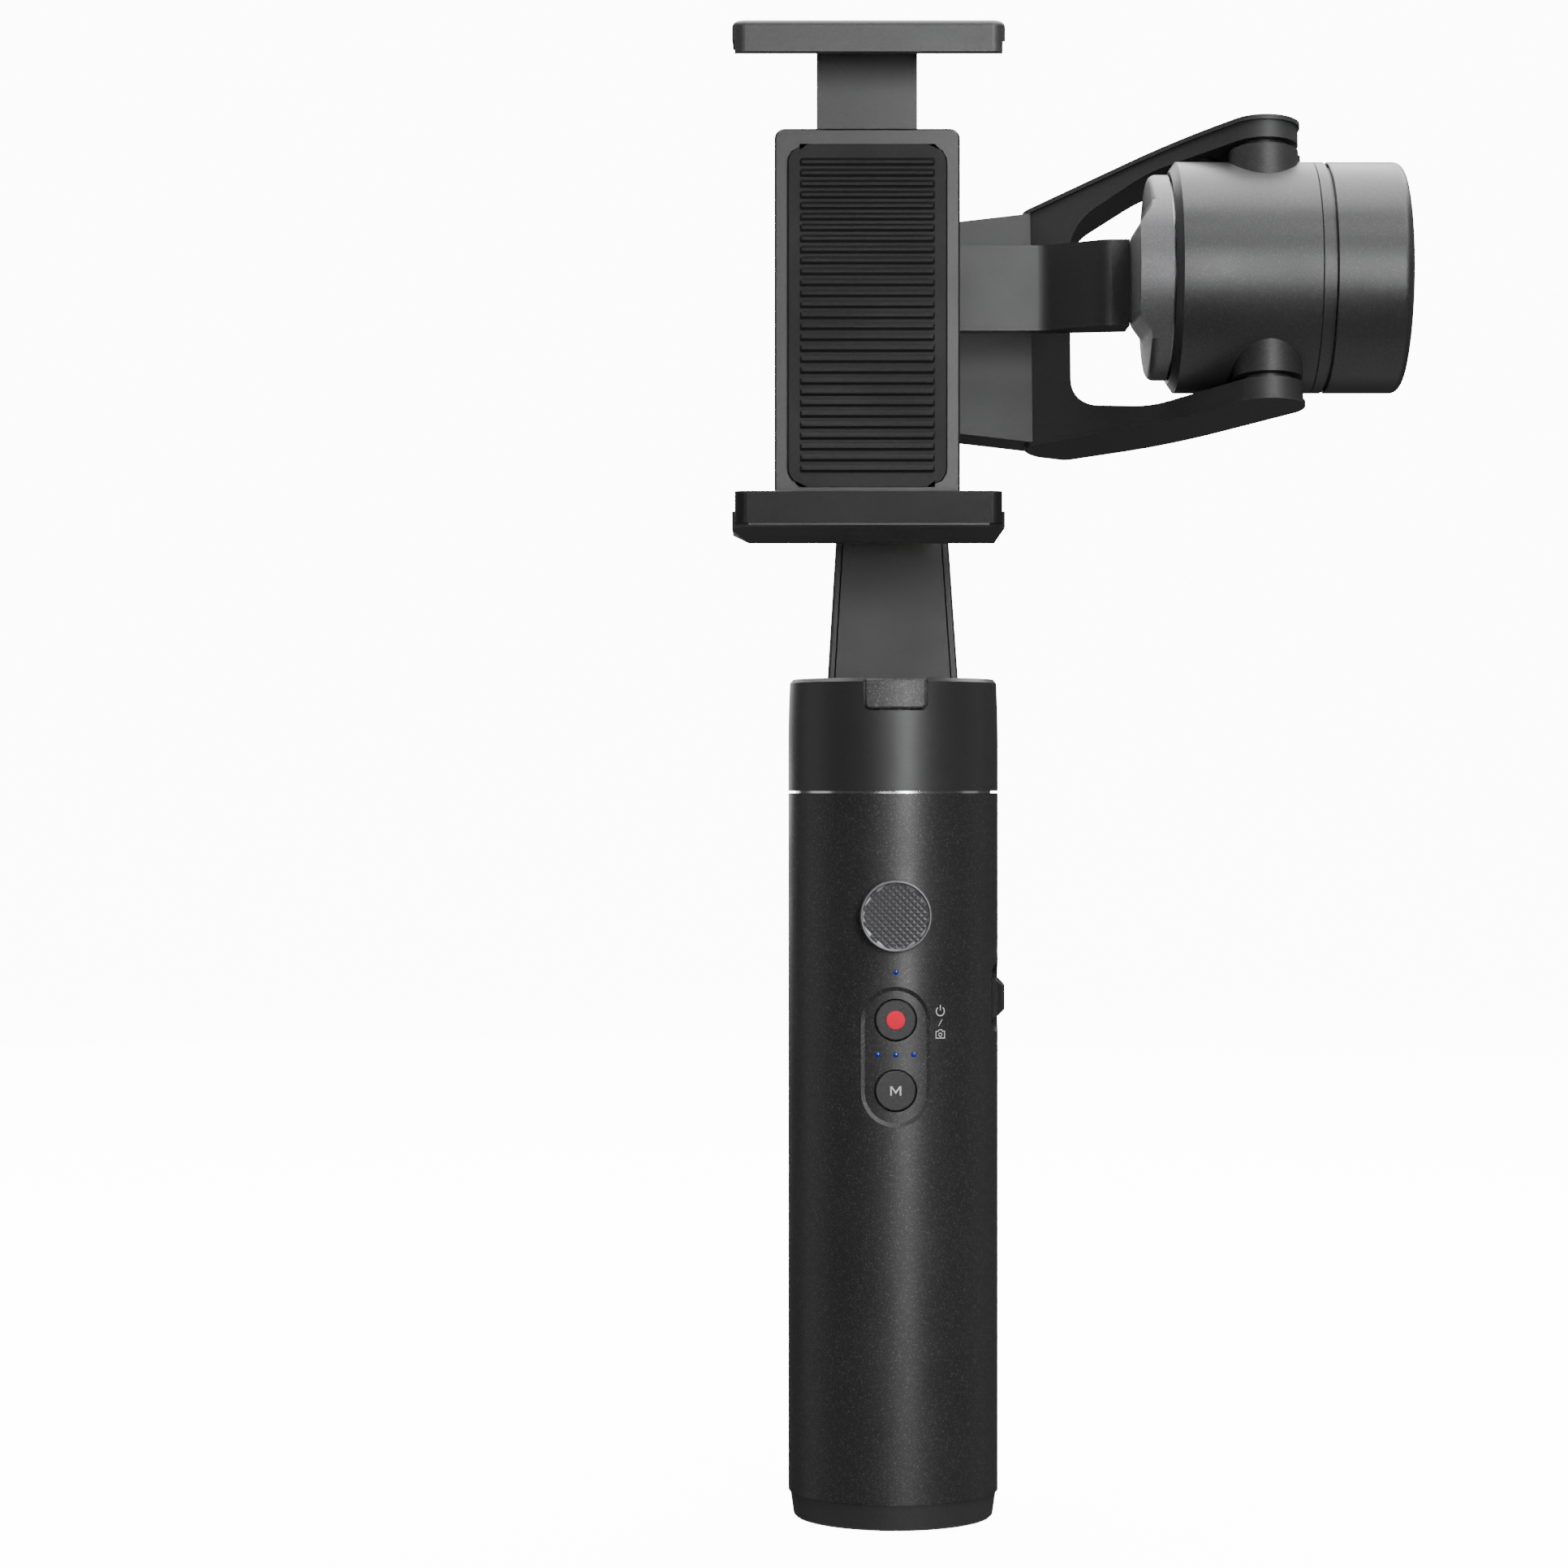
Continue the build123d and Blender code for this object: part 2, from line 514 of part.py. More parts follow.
save(latch_button, "latch_button")

with BuildPart() as latch_spring:
    with BuildLine():
        coil = Helix(pitch=0.45, height=1.8, radius=0.8, center=(0, -12.5, 130.3), direction=(0, 1, 0))
    with BuildSketch(Plane(origin=coil @ 0, z_dir=coil % 0)):
        Circle(0.12)
    sweep(path=coil, is_frenet=True)
save(latch_spring, "latch_spring")


# ================================================================ folding arm
def arm_half(height):
    """Half the arm's width at a height along its length."""
    return ARM_HALF_AT_TILT - height * tan(radians(ARM_TAPER))


def arm_outline(low, high, inset):
    """Tapered outline of the arm between two heights, drawn a little inside its edge."""
    with BuildLine() as outline:
        Polyline(
            (-arm_half(low) + inset, low), (arm_half(low) - inset, low),
            (arm_half(high) - inset, high), (-arm_half(high) + inset, high),
            (-arm_half(low) + inset, low),
        )
    make_face(outline.edges())


with BuildPart() as arm_frame:
    with BuildSketch(roll_plane(ARM_FRONT + ARM_THICK)):
        arm_outline(ARM_LOW, 0, 0)
    extrude(amount=ARM_THICK)
    fillet(arm_frame.edges().filter_by(lambda e: abs((e.tangent_at(0.5)).dot(UP)) > 0.95), 0.5)
    with BuildSketch(roll_plane(ARM_FRONT + ARM_THICK)):
        Circle(ROLL_R)
    extrude(amount=ARM_THICK, mode=Mode.SUBTRACT)
    with BuildSketch(roll_plane(ARM_FRONT + COVER_T + 0.1)):
        arm_outline(-57.6, -18.3, EDGE_STRIP)
    extrude(amount=3, mode=Mode.SUBTRACT)
    with BuildSketch(roll_plane(ARM_FRONT + 4.0)):
        with Locations((0, -38)):
            Rectangle(9.0, 38)
    extrude(amount=4, mode=Mode.SUBTRACT)
    box_between((-20, -30, 100), (20, 30, DECK_TOP + 0.4), Mode.SUBTRACT)
    box_between((-10.6, 2.4, DECK_TOP + 0.4), (10.6, 7.8, 133.6))
    box_between((-KNUCKLE_W / 2, 7.0, DECK_TOP + 0.4), (KNUCKLE_W / 2, FOLD_Y, FOLD_Z + 2.6))
    with BuildSketch(Plane.YZ.offset(-KNUCKLE_W / 2)):
        with Locations((FOLD_Y, FOLD_Z)):
            Circle(2.6)
    extrude(amount=KNUCKLE_W)
    box_between((-4.5, -9.8, 128.8), (4.5, 3.0, 131.3))
    box_between((-2.8, -8.0, 128.0), (2.8, -4.2, 132.0), Mode.SUBTRACT)
    with BuildSketch(Plane.YZ.offset(-20)):
        with Locations((FOLD_Y, FOLD_Z)):
            Circle(FOLD_PIN_R + RUN)
    extrude(amount=40, mode=Mode.SUBTRACT)
save(arm_frame, "arm_frame")

with BuildPart() as arm_front_cover:
    with BuildSketch(roll_plane(ARM_FRONT + COVER_T)):
        arm_outline(-57.5, -18.4, EDGE_STRIP + SEAM)
    extrude(amount=COVER_T - 0.05)
    chamfer(arm_front_cover.faces().sort_by(Axis((0, 0, 0), BACK))[0].edges(), 0.12)
save(arm_front_cover, "arm_front_cover")

with BuildPart() as arm_cable:
    with BuildSketch(roll_plane(ARM_FRONT + 3.2)):
        with Locations((0, -38)):
            Rectangle(6.0, 36)
    extrude(amount=0.4)
save(arm_cable, "arm_cable")

# ---------------------------------------------------------------- roll motor, in the arm's top
with BuildPart() as roll_housing:
    ring(ROLL_BASE, ROLL_REAR, POST_TOP, ROLL_R)
    chamfer(roll_housing.edges(), 0.3)
    ring(ROLL_BASE, FLOOR_TOP, POST_TOP, CUP_R, mode=Mode.SUBTRACT)
    ring(ROLL_BASE, ROLL_REAR, FLOOR_BOTTOM, CUP_R, mode=Mode.SUBTRACT)
    motor_post(ROLL_BASE)
    motor_post_bores(ROLL_BASE)
save(roll_housing, "roll_housing")

with BuildPart() as roll_rear_cover:
    ring(ROLL_BASE, ROLL_REAR - 1.3, ROLL_REAR, ROLL_R - 0.3)
    chamfer(roll_rear_cover.faces().sort_by(Axis((0, 0, 0), BACK))[-1].edges(), 0.6)
save(roll_rear_cover, "roll_rear_cover")

make_bearings(ROLL_BASE, "roll_bearings")
make_stator(ROLL_BASE, "roll_stator")
make_rotor(ROLL_BASE, "roll_rotor")
make_shaft(ROLL_BASE, ROTOR_HIGH + 4.0, "roll_shaft")


# ================================================================ yoke
def fork_plan(hinge_r, root_r):
    """Outline of a fork arm seen along its hinge: two round ends joined by tangents."""
    with BuildLine() as outline:
        run = Vector(FORK_ROOT[0] - YOKE_X, FORK_ROOT[1] - YOKE_T)
        lean_in = Vector(run.X, run.Y).normalized()
        side = Vector(-lean_in.Y, lean_in.X)
        hinge, root = Vector(YOKE_X, YOKE_T), Vector(*FORK_ROOT)
        Line(hinge + side * hinge_r, root + side * root_r)
        ThreePointArc(root + side * root_r, root + lean_in * root_r, root - side * root_r)
        Line(root - side * root_r, hinge - side * hinge_r)
        ThreePointArc(hinge - side * hinge_r, hinge - lean_in * hinge_r, hinge + side * hinge_r)
    make_face(outline.edges())


def fork_edge(side, height):
    """Knee of the fork's outer edge: a slope from the hub that eases into the level tip."""
    slope = Vector(SLOPE_X - 2, FORK_OUT - HUB_EDGE).normalized()
    ease = KNEE_R * 0.5
    knee = Vector(SLOPE_X, height)
    before = knee - slope * ease
    after = knee + Vector(ease, 0)
    bow = (before + after + knee * 2) / 4
    return [Vector(v.X, side * v.Y) for v in (before, bow, after)]


with BuildPart() as yoke_frame:
    with BuildSketch(fork_plane(-30)):
        fork_plan(BOSS_R, FORK_ROOT_R)
        with BuildLine():
            Polyline(
                (-18, HUB_FRONT), (24, HUB_FRONT), (27, FORK_ROOT[1]), (27, HUB_BACK),
                (-18, HUB_BACK), (-18, HUB_FRONT),
            )
        make_face()
        split(bisect_by=Plane(origin=(0, HUB_BACK, 0), z_dir=(0, 1, 0)), keep=Keep.BOTTOM)
    extrude(amount=60)
    with BuildSketch(roll_plane(60)):
        Circle(ROLL_R)
        with BuildLine():
            upper, lower = fork_edge(1, FORK_OUT), fork_edge(-1, FORK_OUT)
            Polyline((2, -HUB_EDGE), (2, HUB_EDGE), upper[0])
            ThreePointArc(*upper)
            Polyline(upper[2], (65, FORK_OUT), (65, -FORK_OUT), lower[2])
            ThreePointArc(*reversed(lower))
            Line(lower[0], (2, -HUB_EDGE))
        make_face()
    extrude(amount=100, mode=Mode.INTERSECT)
    with BuildSketch(roll_plane(60)):
        with BuildLine():
            Polyline(
                (70, FORK_IN), (40, FORK_IN), (28.5, 15.0), (28.5, -15.0), (40, -FORK_IN),
                (70, -FORK_IN), (70, FORK_IN),
            )
        make_face()
        fillet(vertices().group_by(Axis.X)[0], 6)
        fillet(vertices().filter_by(lambda v: abs(v.X - 40) < 0.1), KNEE_R)
    extrude(amount=100, mode=Mode.SUBTRACT)
    stop_reach = sqrt((STOP_X - YOKE_X) ** 2 + (STOP_T - YOKE_T) ** 2)
    with BuildSketch(fork_plane(FORK_IN - 1)):
        with Locations((YOKE_X, YOKE_T)):
            Circle(stop_reach + STOP_R + STOP_GAP)
            Circle(stop_reach - STOP_R - STOP_GAP, mode=Mode.SUBTRACT)
        with BuildLine():
            first, last = (
                Vector(YOKE_X + 30 * cos(radians(a)), YOKE_T + 30 * sin(radians(a)))
                for a in STOP_SECTOR
            )
            Polyline((YOKE_X, YOKE_T), first, (YOKE_X, YOKE_T + 60), last, (YOKE_X, YOKE_T))
        make_face(mode=Mode.INTERSECT)
    extrude(amount=1 + STOP_GROOVE_DEPTH, mode=Mode.SUBTRACT)
    with BuildSketch(fork_plane(-30)):
        with Locations((YOKE_X, YOKE_T)):
            Circle(HINGE_PIN_R)
    extrude(amount=60, mode=Mode.SUBTRACT)
    ring(ROLL_BASE, ROTOR_HIGH, ROTOR_HIGH + 4.0, SHAFT_R, mode=Mode.SUBTRACT)
save(yoke_frame, "yoke_frame")

for label, side in (("yoke_upper_cover", 1), ("yoke_lower_cover", -1)):
    thick = FORK_COVER - FORK_OUT
    below, above = fork_edge(side, FORK_OUT), fork_edge(side, FORK_COVER)
    with BuildPart() as cover:
        with BuildSketch(fork_plane(-30)):
            fork_plan(BOSS_R + COVER_LIP, FORK_ROOT_R + COVER_LIP)
            split(bisect_by=Plane(origin=(0, HUB_BACK, 0), z_dir=(0, 1, 0)), keep=Keep.BOTTOM)
        extrude(amount=60)
        with BuildSketch(roll_plane(60)):
            with BuildLine():
                Line((FORK_COVER_END, side * COVER_LOW), below[0])
                ThreePointArc(*below)
                Polyline(below[2], (65, side * FORK_OUT), (65, side * FORK_COVER), above[2])
                ThreePointArc(*reversed(above))
                Polyline(
                    above[0], (FORK_COVER_END, side * (COVER_LOW + thick)),
                    (FORK_COVER_END, side * COVER_LOW),
                )
            make_face()
        extrude(amount=100, mode=Mode.INTERSECT)
    save(cover, label)

with BuildPart() as yoke_hinge_pins:
    for low in (12.5, -FORK_OUT):
        with BuildSketch(fork_plane(low)):
            with Locations((YOKE_X, YOKE_T)):
                Circle(HINGE_PIN_R)
        extrude(amount=FORK_OUT - 12.5)
save(yoke_hinge_pins, "yoke_hinge_pins")

with BuildPart() as friction_washers:
    for low in (BOSS_TOP + 0.06, -FORK_IN):
        with BuildSketch(fork_plane(low)):
            with Locations((YOKE_X, YOKE_T)):
                Circle(3.9)
                Circle(HINGE_PIN_R, mode=Mode.SUBTRACT)
        extrude(amount=FORK_IN - BOSS_TOP - 0.06)
save(friction_washers, "friction_washers")

# ================================================================ tilt motor body
TILT_AXIS = Axis((0, TILT.Y, TILT.Z), (1, 0, 0))
MID = Plane(origin=(0, TILT.Y, TILT.Z), x_dir=(1, 0, 0), z_dir=(0, -1, 0))
with BuildPart() as tilt_housing:
    with BuildSketch(MID):
        with BuildLine():
            Polyline(
                (HEAD_LEFT, CUP_R), (HEAD_LEFT, HEAD_R - 1.5), (HEAD_LEFT + 1.05, HEAD_R),
                (64.5, HEAD_R), (64.6, HEAD_R - 0.15), (64.7, HEAD_R), (HEAD_RIGHT, HEAD_R),
                (HEAD_RIGHT, 16.2), (51.0, 16.2), (51.0, 1), (49.0, 1), (49.0, CUP_R),
                (HEAD_LEFT, CUP_R),
            )
        make_face()
    revolve(axis=TILT_AXIS)
    motor_post(TILT_BASE)
    for low, high in ((11.5, BOSS_TOP), (-BOSS_TOP, -11.5)):
        with BuildSketch(fork_plane(low)):
            with Locations((YOKE_X, YOKE_T)):
                Circle(BOSS_R)
        extrude(amount=high - low)
    for low in (12.0, -BOSS_TOP - 1):
        with BuildSketch(fork_plane(low)):
            with Locations((YOKE_X, YOKE_T)):
                Circle(HINGE_PIN_R + RUN)
        extrude(amount=BOSS_TOP - 11.0, mode=Mode.SUBTRACT)
    with BuildSketch(fork_plane(HEAD_R - 1)):
        with Locations((STOP_X, STOP_T)):
            Circle(STOP_R)
    extrude(amount=STOP_TOP - HEAD_R + 1)
    ring(TILT_BASE, FLOOR_BOTTOM - 0.2, 0, BEARING_R, mode=Mode.SUBTRACT)
    motor_post_bores(TILT_BASE)
save(tilt_housing, "tilt_housing")

with BuildPart() as tilt_end_cover:
    with BuildSketch(MID):
        with BuildLine():
            Polyline(
                (62.9, 14.8), (62.9, 16.2), (HEAD_RIGHT, 16.2), (HEAD_RIGHT, 17.2),
                (COVER_LEFT, 17.2), (COVER_LEFT, HEAD_R - 0.15), (COVER_LEFT + 0.15, HEAD_R),
                (COVER_RIGHT, HEAD_R), (COVER_RIGHT, 0), (COVER_RIGHT - 1.6, 0),
                (COVER_RIGHT - 1.6, 16.2), (70.0, 16.2), (68.0, 14.8), (62.9, 14.8),
            )
        make_face()
    revolve(axis=TILT_AXIS)
    fillet(tilt_end_cover.faces().sort_by(Axis.X)[-1].edges(), 1.5)
save(tilt_end_cover, "tilt_end_cover")

with BuildPart() as tilt_board:
    ring(tilt_plane(64.7), 0, 1.2, 14.8)
    ring(tilt_plane(64.7), 0, 1.2, 2.5, mode=Mode.SUBTRACT)
    for y, z in ((-6, 4), (3, -6), (5, 6)):
        box_between(
            (62.4, TILT.Y + y - 2.5, TILT.Z + z - 2), (63.5, TILT.Y + y + 2.5, TILT.Z + z + 2)
        )
save(tilt_board, "tilt_board")

make_bearings(TILT_BASE, "tilt_bearings")
make_stator(TILT_BASE, "tilt_stator")
make_rotor(TILT_BASE, "tilt_rotor")
make_shaft(TILT_BASE, ROTOR_HIGH + 2.2, "tilt_shaft")

# ================================================================ clamp: what the tilt motor turns
with BuildPart() as tilt_rotor_cover:
    with BuildSketch(MID):
        with BuildLine():
            Polyline(
                (DISC_LEFT, 0), (DISC_LEFT, DISC_R), (DISC_RIGHT, DISC_R), (DISC_RIGHT, 0),
                (DISC_LEFT, 0),
            )
        make_face()
    revolve(axis=TILT_AXIS)
    fillet(tilt_rotor_cover.faces().sort_by(Axis.X)[0].edges(), 1.2)
    with BuildSketch(y_plane(ARM_ROOT_FRONT)):
        with BuildLine():
            Polyline(
                (DISC_RIGHT - 1, TILT.Z - BAR_FOOT), (DISC_LEFT, TILT.Z - BAR_FOOT),
                (DISC_LEFT - 0.25, TILT.Z - BAR_FOOT + 1.2), (ROOT_FACE, TILT.Z - BAR_TOP),
                (ROOT_FACE, TILT.Z + BAR_TOP), (DISC_LEFT - 0.25, TILT.Z + BAR_FOOT - 1.2),
                (DISC_LEFT, TILT.Z + BAR_FOOT), (DISC_RIGHT - 1, TILT.Z + BAR_FOOT),
                (DISC_RIGHT - 1, TILT.Z - BAR_FOOT),
            )
        make_face()
        fillet(vertices().group_by(Axis.X)[0], 1.8)
        fillet(vertices().filter_by(lambda v: abs(v.X - DISC_LEFT + 0.25) < 0.01), 1.8)
    extrude(amount=30)
    with BuildSketch(tilt_plane(60)):
        Circle(DISC_R)
    extrude(amount=40, mode=Mode.INTERSECT)
    ring(TILT_BASE, ROTOR_HIGH, ROTOR_HIGH + 2.2, SHAFT_R, mode=Mode.SUBTRACT)
save(tilt_rotor_cover, "tilt_rotor_cover")

with BuildPart() as clamp_arm:
    with BuildSketch(Plane.XY.offset(TILT.Z - ARM_ROOT_HALF)):
        with BuildLine():
            Polyline(
                (ROOT_FACE, ARM_ROOT_FRONT), (33.0, ARM_ROOT_FRONT), (24.0, BODY_BACK),
                (-16.0, BODY_BACK), (-16.0, BODY_BACK + 4.4), (28.0, BODY_BACK + 4.4),
                (ROOT_FACE, BODY_BACK + 2.6), (ROOT_FACE, ARM_ROOT_FRONT),
            )
        make_face()
        inner_bends = vertices().filter_by(lambda v: 20 < v.X < 35)
        fillet(inner_bends, 3.0)
    extrude(amount=2 * ARM_ROOT_HALF)
    rear_edges = clamp_arm.faces().sort_by(Axis.X)[0].edges().filter_by(Axis.Z)
    fillet(rear_edges.sort_by(Axis.Y)[-1], 3.0)
    rims = clamp_arm.faces().filter_by(Axis.Z).edges()
    chamfer(rims.filter_by(lambda e: (e @ 0.5).Y > BODY_BACK + 0.3), 0.5)
save(clamp_arm, "clamp_arm")

# ---------------------------------------------------------------- clamp body
with BuildPart() as clamp_body:
    box_between((BODY_LEFT, BODY_FRONT, BODY_BOTTOM), (BODY_RIGHT, BODY_BACK, BODY_TOP))
    fillet(clamp_body.edges().filter_by(Axis.Y), BODY_CORNER)
    fillet(clamp_body.faces().sort_by(Axis.Y)[-1].edges(), 1.0)
    box_between(
        (BODY_LEFT + 1.1, BODY_FRONT, BODY_BOTTOM + 2.6),
        (BODY_RIGHT - 1.1, BODY_BACK - 1.2, BODY_TOP - 2.6),
        Mode.SUBTRACT,
    )
    box_between(
        (CLAMP_X - SLIDE_HALF - 0.35, SLIDE_FRONT - 0.35, BODY_TOP - 5),
        (CLAMP_X + SLIDE_HALF + 0.35, SLIDE_BACK + 0.35, BODY_TOP + 1),
        Mode.SUBTRACT,
    )
    with BuildSketch(Plane.XY.offset(BODY_BOTTOM + 1)):
        with Locations((CLAMP_X - ROD_X, ROD_Y), (CLAMP_X + ROD_X, ROD_Y)):
            Circle(ROD_R)
    extrude(amount=BODY_TOP - BODY_BOTTOM - 2, mode=Mode.SUBTRACT)
save(clamp_body, "clamp_body")

with BuildPart() as guide_rods:
    with BuildSketch(Plane.XY.offset(BODY_BOTTOM + 1)):
        with Locations((CLAMP_X - ROD_X, ROD_Y), (CLAMP_X + ROD_X, ROD_Y)):
            Circle(ROD_R)
    extrude(amount=BODY_TOP - BODY_BOTTOM - 2)
save(guide_rods, "guide_rods")

with BuildPart() as clamp_springs:
    for side in (-1, 1):
        foot = (CLAMP_X + side * ROD_X, ROD_Y, BLOCK_HIGH + SPRING_WIRE)
        rise = SPRING_TOP - BLOCK_HIGH - 2 * SPRING_WIRE
        with BuildLine(Plane(origin=foot)):
            coil = Helix(pitch=rise / SPRING_TURNS, height=rise, radius=SPRING_R)
        with BuildSketch(Plane(origin=coil @ 0, z_dir=coil % 0)):
            Circle(SPRING_WIRE)
        sweep(path=coil, is_frenet=True)
save(clamp_springs, "clamp_springs")

with BuildPart() as clamp_front_cover:
    box_between((BODY_LEFT, BODY_FRONT - 1.0, BODY_BOTTOM), (BODY_RIGHT, BODY_FRONT, BODY_TOP))
    fillet(clamp_front_cover.edges().filter_by(Axis.Y), BODY_CORNER)
    chamfer(clamp_front_cover.faces().sort_by(Axis.Y)[0].edges(), 0.3)
save(clamp_front_cover, "clamp_front_cover")

with BuildPart() as back_pad:
    with BuildSketch(y_plane(BODY_FRONT - 1.0)):
        with Locations((CLAMP_X, (BODY_BOTTOM + BODY_TOP) / 2 + 1)):
            RectangleRounded(2 * BODY_HALF - 4, BODY_TOP - BODY_BOTTOM - 7, 3)
    extrude(amount=PAD)
    chamfer(back_pad.faces().sort_by(Axis.Y)[0].edges(), 0.25)
save(back_pad, "back_pad")

# ---------------------------------------------------------------- lower jaw
with BuildPart() as lower_jaw:
    with BuildSketch(Plane.YZ.offset(JAW_LEFT)):
        with BuildLine():
            Polyline(
                (JAW_FRONT, LIP_FOOT), (JAW_FRONT, LIP_FOOT - 0.3), (JAW_FRONT + 0.5, LIP_FOOT - 0.6),
                (BODY_BACK, JAW_BOTTOM), (BODY_BACK, SHELF), (LIP_BACK, SHELF), (LIP_BACK, LIP_FOOT),
                (JAW_FRONT, LIP_FOOT),
            )
        make_face()
    extrude(amount=JAW_RIGHT - JAW_LEFT)
    with BuildSketch(y_plane(BODY_BACK)):
        with BuildLine():
            Polyline(
                (JAW_LEFT, 170), (JAW_LEFT, 158.1), (JAW_LEFT + 2.7, JAW_BOTTOM - 0.1),
                (JAW_RIGHT - 0.9, JAW_BOTTOM - 0.1), (JAW_RIGHT, 158.4), (JAW_RIGHT, 170),
                (JAW_LEFT, 170),
            )
        make_face()
    extrude(amount=30, mode=Mode.INTERSECT)
    for x, sign in ((JAW_LEFT, 1), (JAW_RIGHT, -1)):
        with BuildSketch(Plane.XY.offset(150)):
            with Locations((x, JAW_FRONT)):
                Rectangle(3.6, 3.6, rotation=45)
        extrude(amount=20, mode=Mode.SUBTRACT)
save(lower_jaw, "lower_jaw")

with BuildPart() as lower_jaw_pad:
    with BuildSketch(Plane.YZ.offset(LIP_LEFT)):
        with BuildLine():
            Polyline(
                (LIP_FRONT, LIP_FOOT), (LIP_BACK, LIP_FOOT), (LIP_BACK, SHELF), (PAD_BACK, SHELF),
                (PAD_BACK, LOWER_SEAT), (LIP_BACK, LOWER_SEAT), (LIP_BACK, LOWER_SEAT + LIP_RISE),
                (LIP_FRONT, LOWER_SEAT + LIP_RISE), (LIP_FRONT, LIP_FOOT),
            )
        make_face()
    extrude(amount=LIP_RIGHT - LIP_LEFT)
    corners = lower_jaw_pad.edges().filter_by(Axis.Z).group_by(Axis.Y)[0]
    fillet(corners, 1.9)
    chamfer(lower_jaw_pad.faces().sort_by(Axis.Z)[-1].edges(), 0.25)
save(lower_jaw_pad, "lower_jaw_pad")

# ---------------------------------------------------------------- upper jaw
with BuildPart() as upper_jaw:
    with BuildSketch(Plane.YZ.offset(JAW_LEFT)):
        with BuildLine():
            Polyline(
                (LIP_FRONT, UPPER_SEAT - LIP_RISE), (LIP_FRONT, JAW_TOP), (JAW_REAR, JAW_TOP),
                (JAW_REAR, UPPER_SEAT + PAD), (LIP_BACK, UPPER_SEAT + PAD),
                (LIP_BACK, UPPER_SEAT - LIP_RISE), (LIP_FRONT, UPPER_SEAT - LIP_RISE),
            )
        make_face()
    extrude(amount=JAW_RIGHT - JAW_LEFT)
    fillet(upper_jaw.edges().filter_by(Axis.Z).group_by(Axis.Y)[0], 2.1)
    fillet(upper_jaw.edges().filter_by(Axis.Z).group_by(Axis.Y)[-1], 2.0)
    fillet(upper_jaw.faces().sort_by(Axis.Z)[-1].edges(), 1.0)
    notch_low = UPPER_SEAT - LIP_RISE - 1
    for x in (JAW_LEFT - 1, JAW_RIGHT - LIP_INSET):
        box_between((x, -32, notch_low), (x + 1 + LIP_INSET, -10, UPPER_SEAT - 0.4), Mode.SUBTRACT)
    box_between(
        (CLAMP_X - SLIDE_HALF, SLIDE_FRONT, BLOCK_HIGH),
        (CLAMP_X + SLIDE_HALF, SLIDE_BACK, UPPER_SEAT + 1.5),
    )
    box_between((CLAMP_X - 13.1, -17.3, BLOCK_LOW), (CLAMP_X + 13.1, -12.9, BLOCK_HIGH))
    with BuildSketch(Plane.XY.offset(BLOCK_LOW)):
        with Locations((CLAMP_X - ROD_X, ROD_Y), (CLAMP_X + ROD_X, ROD_Y)):
            Circle(ROD_R + RUN)
    extrude(amount=BLOCK_HIGH - BLOCK_LOW, mode=Mode.SUBTRACT)
save(upper_jaw, "upper_jaw")

with BuildPart() as upper_jaw_pad:
    box_between((LIP_LEFT, LIP_BACK, UPPER_SEAT), (LIP_RIGHT, PAD_BACK, UPPER_SEAT + PAD))
    chamfer(upper_jaw_pad.faces().sort_by(Axis.Z)[0].edges(), 0.2)
save(upper_jaw_pad, "upper_jaw_pad")
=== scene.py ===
"""Looks of the phone gimbal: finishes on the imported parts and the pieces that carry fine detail.

Everything is in metres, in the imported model's frame: X to the user's right, Y away from the
user, Z up, with the middle of the handle's foot at the origin.
"""

import json
import math

import bmesh
import bpy
from mathutils import Matrix, Vector


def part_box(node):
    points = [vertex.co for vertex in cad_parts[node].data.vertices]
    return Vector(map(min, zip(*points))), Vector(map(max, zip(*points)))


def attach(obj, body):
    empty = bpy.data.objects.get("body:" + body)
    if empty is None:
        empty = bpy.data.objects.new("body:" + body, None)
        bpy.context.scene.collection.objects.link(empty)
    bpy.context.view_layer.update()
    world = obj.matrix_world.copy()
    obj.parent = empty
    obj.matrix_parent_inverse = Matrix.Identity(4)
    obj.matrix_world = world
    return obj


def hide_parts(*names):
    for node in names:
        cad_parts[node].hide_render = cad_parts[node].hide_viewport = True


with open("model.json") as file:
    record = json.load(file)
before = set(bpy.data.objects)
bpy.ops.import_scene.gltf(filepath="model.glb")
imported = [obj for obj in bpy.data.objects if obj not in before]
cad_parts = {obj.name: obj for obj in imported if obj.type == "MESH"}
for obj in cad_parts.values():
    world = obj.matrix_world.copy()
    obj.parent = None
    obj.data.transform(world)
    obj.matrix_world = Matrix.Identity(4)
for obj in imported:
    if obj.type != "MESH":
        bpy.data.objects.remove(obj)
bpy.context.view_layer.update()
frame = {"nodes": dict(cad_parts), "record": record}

MM = 0.001
CAMERA_AT = (-0.0177, -0.672, 0.1185)
LENS_MM, SENSOR_MM = 95.0, 36.0


# ---------------------------------------------------------------- materials
def new_material(name):
    """A material with its node tree's shader, ready for sockets to be set."""
    material = bpy.data.materials.new(name)
    material.use_nodes = True
    return material, material.node_tree, material.node_tree.nodes["Principled BSDF"]


def noise(tree, coords, size_mm, detail=2.0, rough=0.5, stretch=(1, 1, 1)):
    """Noise of a given grain size in the object's own space."""
    node = tree.nodes.new("ShaderNodeTexNoise")
    node.inputs["Scale"].default_value = 1.0 / (size_mm * MM)
    node.inputs["Detail"].default_value = detail
    node.inputs["Roughness"].default_value = rough
    if stretch == (1, 1, 1):
        tree.links.new(coords, node.inputs["Vector"])
    else:
        mapping = tree.nodes.new("ShaderNodeMapping")
        mapping.inputs["Scale"].default_value = stretch
        tree.links.new(coords, mapping.inputs["Vector"])
        tree.links.new(mapping.outputs["Vector"], node.inputs["Vector"])
    return node.outputs["Fac"]


